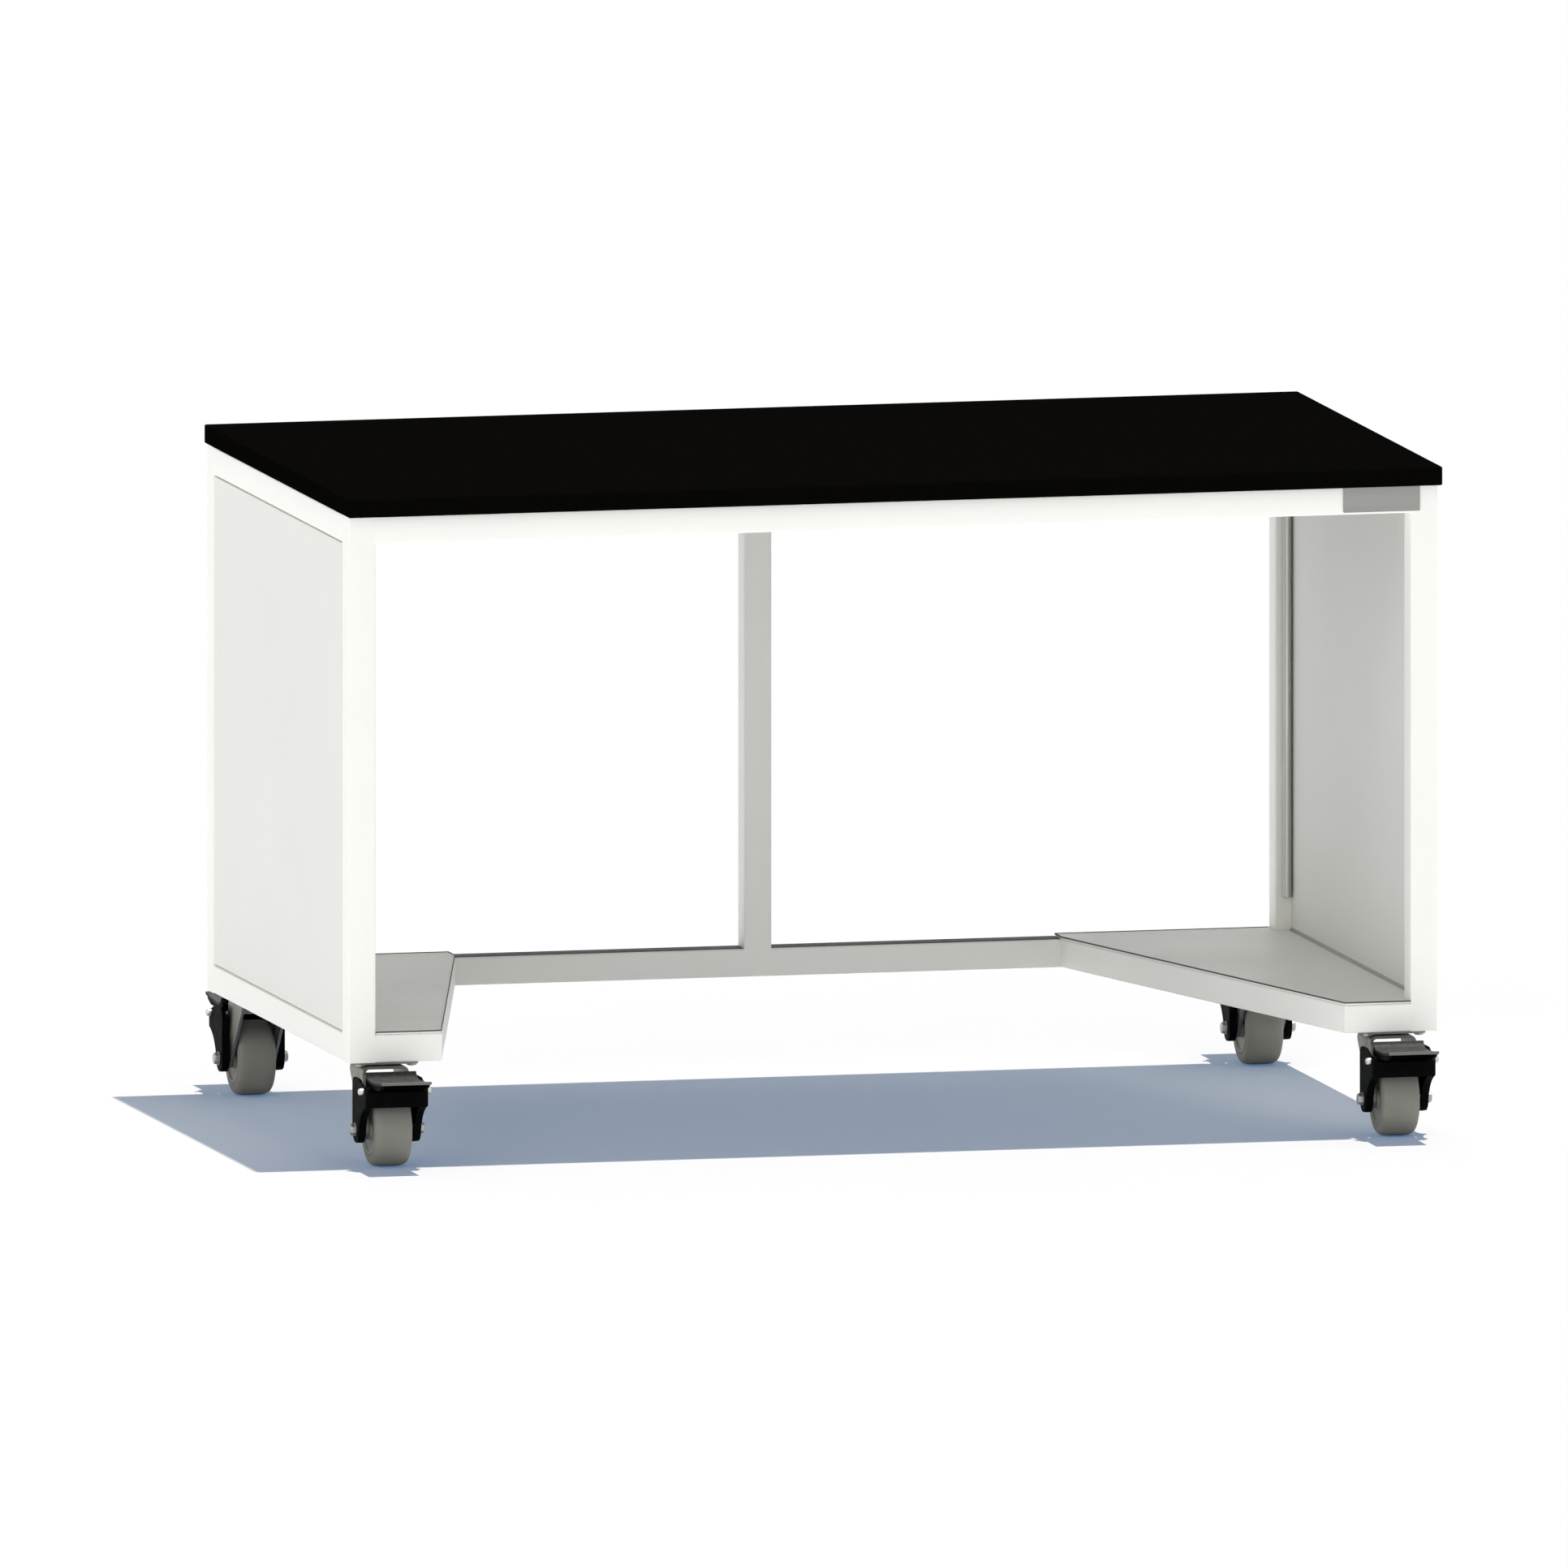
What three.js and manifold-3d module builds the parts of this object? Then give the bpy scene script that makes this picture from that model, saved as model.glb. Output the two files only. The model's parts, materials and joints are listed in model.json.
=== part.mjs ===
// A mobile laboratory bench. A black worktop sits on a welded frame of square steel tube, with a panel in
// each end, a corner shelf at each foot and a braked swivel caster under each corner.
// Millimetres, +Z up. The origin is on the floor under the middle of the frame, +X to the right and +Y to
// the rear.
import * as THREE from "three";
import { mergeVertices } from "three/addons/utils/BufferGeometryUtils.js";
import Module from "manifold-3d";

const wasm = await Module();
wasm.setup();

// Bench
const BENCH_HEIGHT = 914.4;
const FRAME_WIDTH = 1517.65;
const FRAME_DEPTH = 819.15;
const TUBE = 38.1;
const TUBE_WALL = 2;
const TUBE_CORNER = 4;
const POST_FOOT = 3;
const WELD_GAP = 0.3;

// Worktop
const TOP_THICKNESS = 25.4;
const TOP_SIDE_OVERHANG = 3.175;
const TOP_FRONT_OVERHANG = 15.875;
const TOP_REAR_OVERHANG = 3.175;
const TOP_CORNER = 3;
const TOP_EDGE = 1.2;

// Feet: each is a trapezoid in plan, narrow at the front and wide at the rear
const FOOT_FRONT = 130;
const FOOT_REAR = 337;
const SHELF_THICKNESS = 3;
const SHELF_GAP = 0.8;
const SHELF_EDGE = 0.8;
const MOUNT_WIDTH = 62;
const MOUNT_DEPTH = 76;
const MOUNT_THICKNESS = 6;

// Side panels, with a shadow groove around the outer face
const PANEL_THICKNESS = 15;
const PANEL_RECESS = 0.8;
const PANEL_GROOVE = 2.2;
const PANEL_GROOVE_DEPTH = 4;

// Plate on the front rail, and the conduit in the right rear corner
const BADGE_WIDTH = 106.7;
const BADGE_HEIGHT = 34;
const BADGE_THICKNESS = 1.2;
const BADGE_CORNER = 1.5;
const BADGE_END = 25.4;
const BADGE_DROP = 1;
const CONDUIT_DIAMETER = 12.7;
const CONDUIT_WALL = 1.2;
const CONDUIT_INSET = 14.9;
const CONDUIT_CLEAR = 37;

// Casters
const CASTER_HEIGHT = 142.875;
const CASTER_SIDE = 57.15;
const CASTER_END = 63.5;
const CASTER_TRAIL = 48;
const RUNNING_GAP = 0.5;
const PLATE_WIDTH = 88.9;
const PLATE_DEPTH = 101.6;
const PLATE_THICKNESS = 4;
const PLATE_CORNER = 6;
const RACE_RADIUS = 29;
const RACE_HEIGHT = 3;
const KINGPIN_RADIUS = 6;
const KINGPIN_HEAD_RADIUS = 10;
const KINGPIN_HEAD_HEIGHT = 3;
const FORK_GAP = 56;
const FORK_STEEL = 4;
const FORK_FRONT = 43;
const FORK_REAR = 33;
const FORK_SHOULDER = 8;
const FORK_EAR = 14;

// Wheels
const WHEEL_RADIUS = 50.8;
const TYRE_WIDTH = 50.8;
const TYRE_EDGE = 10;
const TYRE_DEPTH = 16;
const HUB_RIM = 4;
const HUB_WEB_RECESS = 4;
const HUB_BOSS_RADIUS = 13;
const HUB_BOSS_PLAY = 1;
const AXLE_RADIUS = 4.75;
const AXLE_PLAY = 0.5;
const AXLE_HEAD_RADIUS = 8;
const AXLE_HEAD_LENGTH = 7;
const SHANK_SET_BACK = 1;
const WHEEL_STEPS = 28;

// Brakes: AHEAD sizes are measured outwards from the axle, DROP sizes down from the frame
const COVER_WIDTH = 88;
const COVER_WALL = 3;
const COVER_FRONT_CORNER = 7;
const COVER_EAR = 17;
const COVER_TOP_DROP = 21;
const COVER_TOP_CORNER = 12;
const COVER_AHEAD = 63;
const COVER_SHOULDER_AHEAD = 20;
const COVER_NOSE_DROP = 35;
const COVER_CHIN_DROP = 48;
const COVER_CHIN_CORNER = 8;
const COVER_THROAT_AHEAD = 25.5;
const COVER_THROAT_DROP = 65;
const SKIRT_DROP = 55;
const PIN_AHEAD = 45.5;
const PIN_DROP = 35.2;
const PIN_RADIUS = 3.5;
const PIN_LENGTH = 102;
const PIN_HEAD_RADIUS = 5;
const PIN_PLAY = 0.4;
const PEDAL_SIDE_GAP = 6;
const PEDAL_HEEL_AHEAD = 23;
const PEDAL_HEEL_DROP = 10.3;
const PEDAL_DIP_AHEAD = 41;
const PEDAL_DIP_DROP = 20.8;
const PEDAL_RISE_AHEAD = 73;
const PEDAL_RISE_DROP = 19.8;
const PEDAL_LIP_AHEAD = 116;
const PEDAL_LIP_DROP = 15;
const PEDAL_THICKNESS = 4;
const PEDAL_WALL = 4.5;
const PEDAL_WALL_INSET = 1;
const PEDAL_WALL_AHEAD = 88;
const PEDAL_BEAK_AHEAD = 104;
const PEDAL_BEAK_DROP = 25;
const PEDAL_NOSE_GAP = 5;
const PEDAL_LUG_RADIUS = 6;
const SHOE_GAP = 2.4;
const SHOE_AHEAD = 40;
const SHOE_DEPTH = 7;
const SHOE_HEIGHT = 8;

// Straight steps along a small corner, a round corner and a full turn of a pin
const ARC_STEPS = 1;
const ROUND_STEPS = 5;
const PIN_STEPS = 14;

// Levels and places that follow from the sizes above
const halfWidth = FRAME_WIDTH / 2;
const halfDepth = FRAME_DEPTH / 2;
const frameBottom = CASTER_HEIGHT;
const frameTop = BENCH_HEIGHT - TOP_THICKNESS - WELD_GAP;
const topRailLow = frameTop - TUBE;
const bottomRailTop = frameBottom + TUBE;
const postInset = TUBE / 2;
const betweenPosts = TUBE + WELD_GAP;

function finish(color, roughness, metalness = 0) {
  return new THREE.MeshStandardMaterial({ color, roughness, metalness });
}

const powderCoat = finish("#f7f7f1", 0.4);
const panelLaminate = finish("#ecece6", 0.5);
const blackResin = finish("#080706", 0.35);
const zincPlate = finish("#8c8b83", 0.45, 0.8);
const brightSteel = finish("#d0d0cc", 0.3, 0.9);
const greyRubber = finish("#807f79", 0.75);
const hubPlastic = finish("#5c5b57", 0.55);
const blackPlastic = finish("#0c0c0c", 0.4);
const satinAluminium = finish("#bbbbb7", 0.4, 0.8);

const bench = new THREE.Group();

function addMesh(parent, name, geometry, material) {
  const mesh = new THREE.Mesh(geometry, material);
  mesh.name = name;
  parent.add(mesh);
  return mesh;
}

// Joining and cutting closed meshes

function solid(geometry) {
  const bare = new THREE.BufferGeometry();
  bare.setAttribute("position", geometry.getAttribute("position").clone());
  if (geometry.index) bare.setIndex(geometry.index.clone());
  const merged = mergeVertices(bare, 1e-4);
  const vertProperties = merged.getAttribute("position").array;
  const triVerts = new Uint32Array(merged.index.array);
  return new wasm.Manifold(new wasm.Mesh({ numProp: 3, vertProperties, triVerts }));
}

function geometryOf(body) {
  const mesh = body.getMesh();
  const geometry = new THREE.BufferGeometry();
  geometry.setAttribute("position", new THREE.BufferAttribute(mesh.vertProperties, mesh.numProp));
  geometry.setIndex(new THREE.BufferAttribute(mesh.triVerts, 1));
  return geometry;
}

function joined(...geometries) {
  return geometryOf(geometries.map(solid).reduce((whole, piece) => whole.add(piece)));
}

function cut(geometry, ...tools) {
  return geometryOf(tools.map(solid).reduce((rest, tool) => rest.subtract(tool), solid(geometry)));
}

function common(geometry, other) {
  return geometryOf(solid(geometry).intersect(solid(other)));
}

// Basic shapes

function roundedRectangle(width, height, radius) {
  const x = width / 2 - radius;
  const y = height / 2 - radius;
  const shape = new THREE.Shape();
  shape.absarc(x, y, radius, 0, Math.PI / 2);
  shape.absarc(-x, y, radius, Math.PI / 2, Math.PI);
  shape.absarc(-x, -y, radius, Math.PI, 1.5 * Math.PI);
  shape.absarc(x, -y, radius, 1.5 * Math.PI, 2 * Math.PI);
  return shape;
}

function polygon(points) {
  return new THREE.Shape(points.map(([x, y]) => new THREE.Vector2(x, y)));
}

function circle(x, y, radius) {
  return new THREE.Path().absarc(x, y, radius, 0, 2 * Math.PI);
}

// A flat outline in plan, extruded upwards from one level to another.
function upright(shape, low, high, steps = ARC_STEPS) {
  const options = { depth: high - low, bevelEnabled: false, curveSegments: steps };
  return new THREE.ExtrudeGeometry(shape, options).translate(0, 0, low);
}

// A side outline, drawn in Y and Z, extruded along X.
const sideways = new THREE.Matrix4().makeBasis(
  new THREE.Vector3(0, 1, 0),
  new THREE.Vector3(0, 0, 1),
  new THREE.Vector3(1, 0, 0),
);

function crosswise(shape, left, right, steps = ROUND_STEPS) {
  return upright(shape, left, right, steps).applyMatrix4(sideways);
}

function box(x0, x1, y0, y1, z0, z1) {
  const middle = [(x0 + x1) / 2, (y0 + y1) / 2, (z0 + z1) / 2];
  return new THREE.BoxGeometry(x1 - x0, y1 - y0, z1 - z0).translate(...middle);
}

function disc(radius, low, high, steps = PIN_STEPS) {
  const cylinder = new THREE.CylinderGeometry(radius, radius, high - low, steps);
  return cylinder.rotateX(Math.PI / 2).translate(0, 0, (low + high) / 2);
}

// A round bar along X, through a point of the YZ plane.
function crossBar(radius, left, right, y, z, steps = PIN_STEPS) {
  const cylinder = new THREE.CylinderGeometry(radius, radius, right - left, steps);
  return cylinder.rotateZ(Math.PI / 2).translate((left + right) / 2, y, z);
}

// Square tube

function boreOutline() {
  const bore = TUBE - 2 * TUBE_WALL;
  return roundedRectangle(bore, bore, Math.max(TUBE_CORNER - TUBE_WALL, TUBE_WALL / 4));
}

function tubeSection() {
  const section = roundedRectangle(TUBE, TUBE, TUBE_CORNER);
  section.holes.push(new THREE.Path(boreOutline().getPoints(ARC_STEPS)));
  return section;
}

// A length of tube along its own Z, from 0 to the length.
function tube(length) {
  return upright(tubeSection(), 0, length);
}

// A corner post has a closed foot and an open top.
function postTube(length) {
  const outside = upright(roundedRectangle(TUBE, TUBE, TUBE_CORNER), 0, length);
  return cut(outside, upright(boreOutline(), POST_FOOT, length + POST_FOOT));
}

function addRailAlongX(name, x0, x1, y, z) {
  const rail = addMesh(bench, name, tube(x1 - x0).rotateY(Math.PI / 2), powderCoat);
  rail.position.set(x0, y, z);
}

function addRailAlongY(name, y0, y1, x, z) {
  const rail = addMesh(bench, name, tube(y1 - y0).rotateX(-Math.PI / 2), powderCoat);
  rail.position.set(x, y0, z);
}

// Worktop and frame

const sides = [
  { name: "left", sign: -1 },
  { name: "right", sign: 1 },
];
const ends = [
  { name: "front", sign: -1 },
  { name: "rear", sign: 1 },
];

function addWorktop() {
  const width = FRAME_WIDTH + 2 * TOP_SIDE_OVERHANG;
  const depth = FRAME_DEPTH + TOP_FRONT_OVERHANG + TOP_REAR_OVERHANG;
  const outline = roundedRectangle(width - 2 * TOP_EDGE, depth - 2 * TOP_EDGE, TOP_CORNER);
  const slab = new THREE.ExtrudeGeometry(outline, {
    depth: TOP_THICKNESS - 2 * TOP_EDGE,
    bevelSize: TOP_EDGE,
    bevelThickness: TOP_EDGE,
    bevelSegments: 1,
    curveSegments: ARC_STEPS,
  });
  const top = addMesh(bench, "worktop", slab, blackResin);
  const middle = (TOP_REAR_OVERHANG - TOP_FRONT_OVERHANG) / 2;
  top.position.set(0, middle, BENCH_HEIGHT - TOP_THICKNESS + TOP_EDGE);
}

function addPosts() {
  for (const end of ends) {
    for (const side of sides) {
      const geometry = postTube(frameTop - frameBottom);
      const post = addMesh(bench, `post_${end.name}_${side.name}`, geometry, powderCoat);
      post.position.set(side.sign * (halfWidth - postInset), end.sign * (halfDepth - postInset), frameBottom);
    }
  }
  const height = topRailLow - bottomRailTop - 2 * WELD_GAP;
  const centre = addMesh(bench, "post_rear_centre", tube(height), powderCoat);
  centre.position.set(0, halfDepth - postInset, bottomRailTop + WELD_GAP);
}

function addRails() {
  const railX = halfWidth - betweenPosts;
  const railY = halfDepth - betweenPosts;
  const topLevel = topRailLow + TUBE / 2;
  const bottomLevel = frameBottom + TUBE / 2;
  for (const end of ends) {
    addRailAlongX(`rail_top_${end.name}`, -railX, railX, end.sign * (halfDepth - postInset), topLevel);
  }
  for (const side of sides) {
    const x = side.sign * (halfWidth - postInset);
    addRailAlongY(`rail_top_${side.name}`, -railY, railY, x, topLevel);
    addRailAlongY(`rail_bottom_${side.name}`, -railY, railY, x, bottomLevel);
  }
  addRailAlongX("rail_bottom_rear", -railX, railX, halfDepth - postInset, bottomLevel);
  addRailAlongY("rail_top_centre", -railY, railY, 0, topLevel);
}

// Feet. Plan points are (inset from the side face, distance back from the front face).

function planShape(side, points) {
  return polygon(points.map(([inset, back]) => [side.sign * (halfWidth - inset), back - halfDepth]));
}

const slantBack = FRAME_DEPTH - betweenPosts;
const slantRun = new THREE.Vector2(FOOT_REAR - FOOT_FRONT, slantBack);
const slantAlong = slantRun.clone().normalize();

// Insets of the slanted rail's two faces at a distance back from the front face.
function slantOuter(back) {
  return FOOT_FRONT + (back * slantRun.x) / slantRun.y;
}

function slantInner(back) {
  return slantOuter(back) - TUBE / slantAlong.y;
}

// The mitre between the toe rail and the slanted rail, drawn out past both faces and moved back by a gap.
function mitre(gap) {
  const run = FOOT_FRONT - slantInner(TUBE);
  return [
    [FOOT_FRONT + run, gap - TUBE],
    [FOOT_FRONT - 2 * run, gap + 2 * TUBE],
  ];
}

function addToeRail(side) {
  const [outer, inner] = mitre(0);
  const start = TUBE + WELD_GAP;
  const reach = planShape(side, [[start, outer[1]], outer, inner, [start, inner[1]]]);
  const bar = tube(outer[0]).rotateY(Math.PI / 2);
  const left = side.sign < 0 ? -halfWidth : halfWidth - outer[0];
  bar.translate(left, postInset - halfDepth, frameBottom + TUBE / 2);
  const rail = common(bar, upright(reach, frameBottom - TUBE, frameBottom + 2 * TUBE));
  addMesh(bench, `toe_rail_${side.name}`, rail, powderCoat);
}

function addSlantRail(side) {
  const [outer, inner] = mitre(WELD_GAP);
  const reach = planShape(side, [outer, [FOOT_REAR + TUBE, slantBack], [inner[0], slantBack], inner]);
  const along = new THREE.Vector3(-side.sign * slantAlong.x, slantAlong.y, 0);
  const up = new THREE.Vector3(0, 0, 1);
  const across = new THREE.Vector3().crossVectors(up, along);
  const start = new THREE.Vector3(side.sign * (halfWidth - FOOT_FRONT), -halfDepth, frameBottom + TUBE / 2);
  start.addScaledVector(across, (-side.sign * TUBE) / 2);
  start.addScaledVector(along, -TUBE);
  const bar = tube(slantRun.length() + 2 * TUBE);
  bar.applyMatrix4(new THREE.Matrix4().makeBasis(across, up, along).setPosition(start));
  const rail = common(bar, upright(reach, frameBottom - TUBE, frameBottom + 2 * TUBE));
  addMesh(bench, `slant_rail_${side.name}`, rail, powderCoat);
}

// A plate on top of the rails, notched at the two posts and at the panel between them.
function addCornerShelf(side) {
  const post = TUBE + SHELF_GAP;
  const panel = PANEL_RECESS + PANEL_THICKNESS + SHELF_GAP;
  const front = SHELF_EDGE;
  const rear = FRAME_DEPTH - SHELF_EDGE;
  const edge = SHELF_EDGE / slantAlong.y;
  const outline = planShape(side, [
    [post, front],
    [slantOuter(front) - edge, front],
    [slantOuter(rear) - edge, rear],
    [post, rear],
    [post, FRAME_DEPTH - post],
    [panel, FRAME_DEPTH - post],
    [panel, post],
    [post, post],
  ]);
  const level = bottomRailTop + WELD_GAP;
  const shelf = upright(outline, level, level + SHELF_THICKNESS);
  addMesh(bench, `corner_shelf_${side.name}`, shelf, powderCoat);
}

function addCasterMounts(side) {
  const near = TUBE + WELD_GAP;
  for (const end of ends) {
    const x0 = side.sign * (halfWidth - near);
    const x1 = side.sign * (halfWidth - near - MOUNT_WIDTH);
    const y0 = end.sign * (halfDepth - near);
    const y1 = end.sign * (halfDepth - near - MOUNT_DEPTH);
    const low = frameBottom;
    const xs = [Math.min(x0, x1), Math.max(x0, x1)];
    const ys = [Math.min(y0, y1), Math.max(y0, y1)];
    const plate = box(...xs, ...ys, low, low + MOUNT_THICKNESS);
    addMesh(bench, `caster_mount_${end.name}_${side.name}`, plate, powderCoat);
  }
}

// The panel's core reaches the tubes. Its face is smaller all round, which leaves the groove.
function addSidePanel(side) {
  const y = halfDepth - betweenPosts;
  const low = bottomRailTop + WELD_GAP;
  const high = topRailLow - WELD_GAP;
  const face = halfWidth - PANEL_RECESS;
  const step = face - PANEL_GROOVE_DEPTH;
  const inside = face - PANEL_THICKNESS;
  const core = box(inside, step, -y, y, low, high);
  const yFace = y - PANEL_GROOVE;
  const skin = box(inside, face, -yFace, yFace, low + PANEL_GROOVE, high - PANEL_GROOVE);
  const panel = addMesh(bench, `side_panel_${side.name}`, joined(core, skin), panelLaminate);
  if (side.sign < 0) panel.rotation.z = Math.PI;
}

function addBadge() {
  const outline = roundedRectangle(BADGE_WIDTH, BADGE_HEIGHT, BADGE_CORNER);
  const plate = upright(outline, 0, BADGE_THICKNESS).rotateX(Math.PI / 2);
  const badge = addMesh(bench, "badge_plate", plate, satinAluminium);
  const x = halfWidth - BADGE_END - BADGE_WIDTH / 2;
  badge.position.set(x, -halfDepth - WELD_GAP, frameTop - BADGE_DROP - BADGE_HEIGHT / 2);
}

// The conduit is closed by a round end at the bottom and open at the top.
function addConduit() {
  const radius = CONDUIT_DIAMETER / 2;
  const bore = radius - CONDUIT_WALL;
  const low = bottomRailTop + CONDUIT_CLEAR;
  const high = topRailLow - WELD_GAP;
  const dome = new THREE.Path().absarc(0, low + radius, radius, -Math.PI / 2, 0).getPoints(ROUND_STEPS / 2);
  dome[0].x = 0;
  const profile = [
    ...dome,
    new THREE.Vector2(radius, high),
    new THREE.Vector2(bore, high),
    new THREE.Vector2(bore, low + radius),
    new THREE.Vector2(0, low + radius),
  ];
  const tubeBody = new THREE.LatheGeometry(profile, PIN_STEPS).rotateX(Math.PI / 2);
  const conduit = addMesh(bench, "cable_conduit", geometryOf(solid(tubeBody)), satinAluminium);
  const x = halfWidth - TUBE + CONDUIT_INSET;
  conduit.position.set(x, halfDepth - TUBE - WELD_GAP - radius, 0);
}

// Casters. Each is drawn with its swivel axis on Z and its wheel trailing to the front.

const axleY = -CASTER_TRAIL;
const axleZ = WHEEL_RADIUS;
const plateTop = CASTER_HEIGHT - WELD_GAP;
const plateLow = plateTop - PLATE_THICKNESS;
const raceLow = plateLow - RACE_HEIGHT;
const crownTop = raceLow - RUNNING_GAP;
const crownLow = crownTop - FORK_STEEL;
const legInner = FORK_GAP / 2;
const legOuter = legInner + FORK_STEEL;
const coverOuter = COVER_WIDTH / 2;
const coverInner = coverOuter - COVER_WALL;
const pinY = axleY - PIN_AHEAD;
const pinZ = CASTER_HEIGHT - PIN_DROP;

// Side outlines use points that are (ahead of the axle, height).
function aheadPoint(ahead, height) {
  return new THREE.Vector2(axleY - ahead, height);
}

function casterPlate() {
  const plate = upright(roundedRectangle(PLATE_WIDTH, PLATE_DEPTH, PLATE_CORNER), plateLow, plateTop);
  const race = disc(RACE_RADIUS, raceLow, plateTop - PLATE_THICKNESS / 2, WHEEL_STEPS);
  const headTop = crownLow - RUNNING_GAP;
  const headLow = headTop - KINGPIN_HEAD_HEIGHT;
  const kingpin = disc(KINGPIN_RADIUS, headLow, plateLow);
  return joined(plate, race, kingpin, disc(KINGPIN_HEAD_RADIUS, headLow, headTop));
}

// The point where a straight edge from a corner meets a round ear, on the left or right of the way down.
function tangentAngle(corner, centre, radius, turn) {
  const reach = corner.clone().sub(centre);
  return reach.angle() + turn * Math.acos(radius / reach.length());
}

function fork() {
  const axle = new THREE.Vector2(axleY, axleZ);
  const front = new THREE.Vector2(-FORK_FRONT, crownLow - FORK_SHOULDER);
  const rear = new THREE.Vector2(FORK_REAR, crownLow - FORK_SHOULDER);
  const leg = new THREE.Shape();
  leg.moveTo(front.x, crownTop);
  leg.lineTo(front.x, front.y);
  const from = tangentAngle(front, axle, FORK_EAR, 1);
  const to = tangentAngle(rear, axle, FORK_EAR, -1);
  leg.absarc(axle.x, axle.y, FORK_EAR, from, to + 2 * Math.PI);
  leg.lineTo(rear.x, rear.y);
  leg.lineTo(rear.x, crownTop);
  leg.holes.push(circle(axle.x, axle.y, AXLE_RADIUS + AXLE_PLAY));
  const crown = box(-legOuter, legOuter, front.x, rear.x, crownLow, crownTop);
  const legs = [crosswise(leg, -legOuter, -legInner), crosswise(leg, legInner, legOuter)];
  const kingpinHole = disc(KINGPIN_RADIUS + RUNNING_GAP, crownLow - FORK_STEEL, crownTop + FORK_STEEL);
  return cut(joined(crown, ...legs), kingpinHole);
}

function axleBolt() {
  const seat = coverOuter + WELD_GAP;
  const end = seat + AXLE_HEAD_LENGTH;
  const shankEnd = end - SHANK_SET_BACK;
  const shank = crossBar(AXLE_RADIUS, -shankEnd, shankEnd, axleY, axleZ);
  const hexagon = 6;
  const head = crossBar(AXLE_HEAD_RADIUS, -end, -seat, axleY, axleZ, hexagon);
  const nut = crossBar(AXLE_HEAD_RADIUS, seat, end, axleY, axleZ, hexagon);
  return joined(shank, head, nut);
}

// A ring about the axle, from a closed profile of (radius, distance along the axle). It stands on a flat.
function wheelRing(profile) {
  const closed = [...profile, profile[0]].map(([radius, along]) => new THREE.Vector2(radius, along));
  const flat = 1 / Math.cos(Math.PI / WHEEL_STEPS);
  closed.forEach((point) => (point.x *= flat));
  const ring = new THREE.LatheGeometry(closed, WHEEL_STEPS, Math.PI / WHEEL_STEPS);
  return ring.rotateZ(-Math.PI / 2).translate(0, axleY, axleZ);
}

const rimRadius = WHEEL_RADIUS - TYRE_DEPTH;

function tyre() {
  const half = TYRE_WIDTH / 2;
  const seat = rimRadius + WELD_GAP;
  const profile = [[seat, -half]];
  const steps = 3;
  for (const side of [-1, 1]) {
    for (let i = 0; i <= steps; i++) {
      const angle = ((side < 0 ? i : steps - i) / steps) * (Math.PI / 2);
      const radius = WHEEL_RADIUS - TYRE_EDGE * (1 - Math.sin(angle));
      profile.push([radius, side * (half - TYRE_EDGE * (1 - Math.cos(angle)))]);
    }
  }
  profile.push([seat, half]);
  return wheelRing(profile);
}

function hub() {
  const half = TYRE_WIDTH / 2;
  const boss = legInner - HUB_BOSS_PLAY;
  const bore = AXLE_RADIUS + AXLE_PLAY;
  const web = half - HUB_WEB_RECESS;
  const inner = rimRadius - HUB_RIM;
  return wheelRing([
    [bore, -boss],
    [HUB_BOSS_RADIUS, -boss],
    [HUB_BOSS_RADIUS, -web],
    [inner, -web],
    [inner, -half],
    [rimRadius, -half],
    [rimRadius, half],
    [inner, half],
    [inner, web],
    [HUB_BOSS_RADIUS, web],
    [HUB_BOSS_RADIUS, boss],
    [bore, boss],
  ]);
}

// A U in plan, open to the rear, with round front corners.
function coverPlan(half, front, rear, corner) {
  const shape = new THREE.Shape();
  shape.moveTo(half, rear);
  shape.lineTo(-half, rear);
  shape.absarc(-half + corner, front + corner, corner, Math.PI, 1.5 * Math.PI);
  shape.absarc(half - corner, front + corner, corner, 1.5 * Math.PI, 2 * Math.PI);
  return shape;
}

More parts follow.
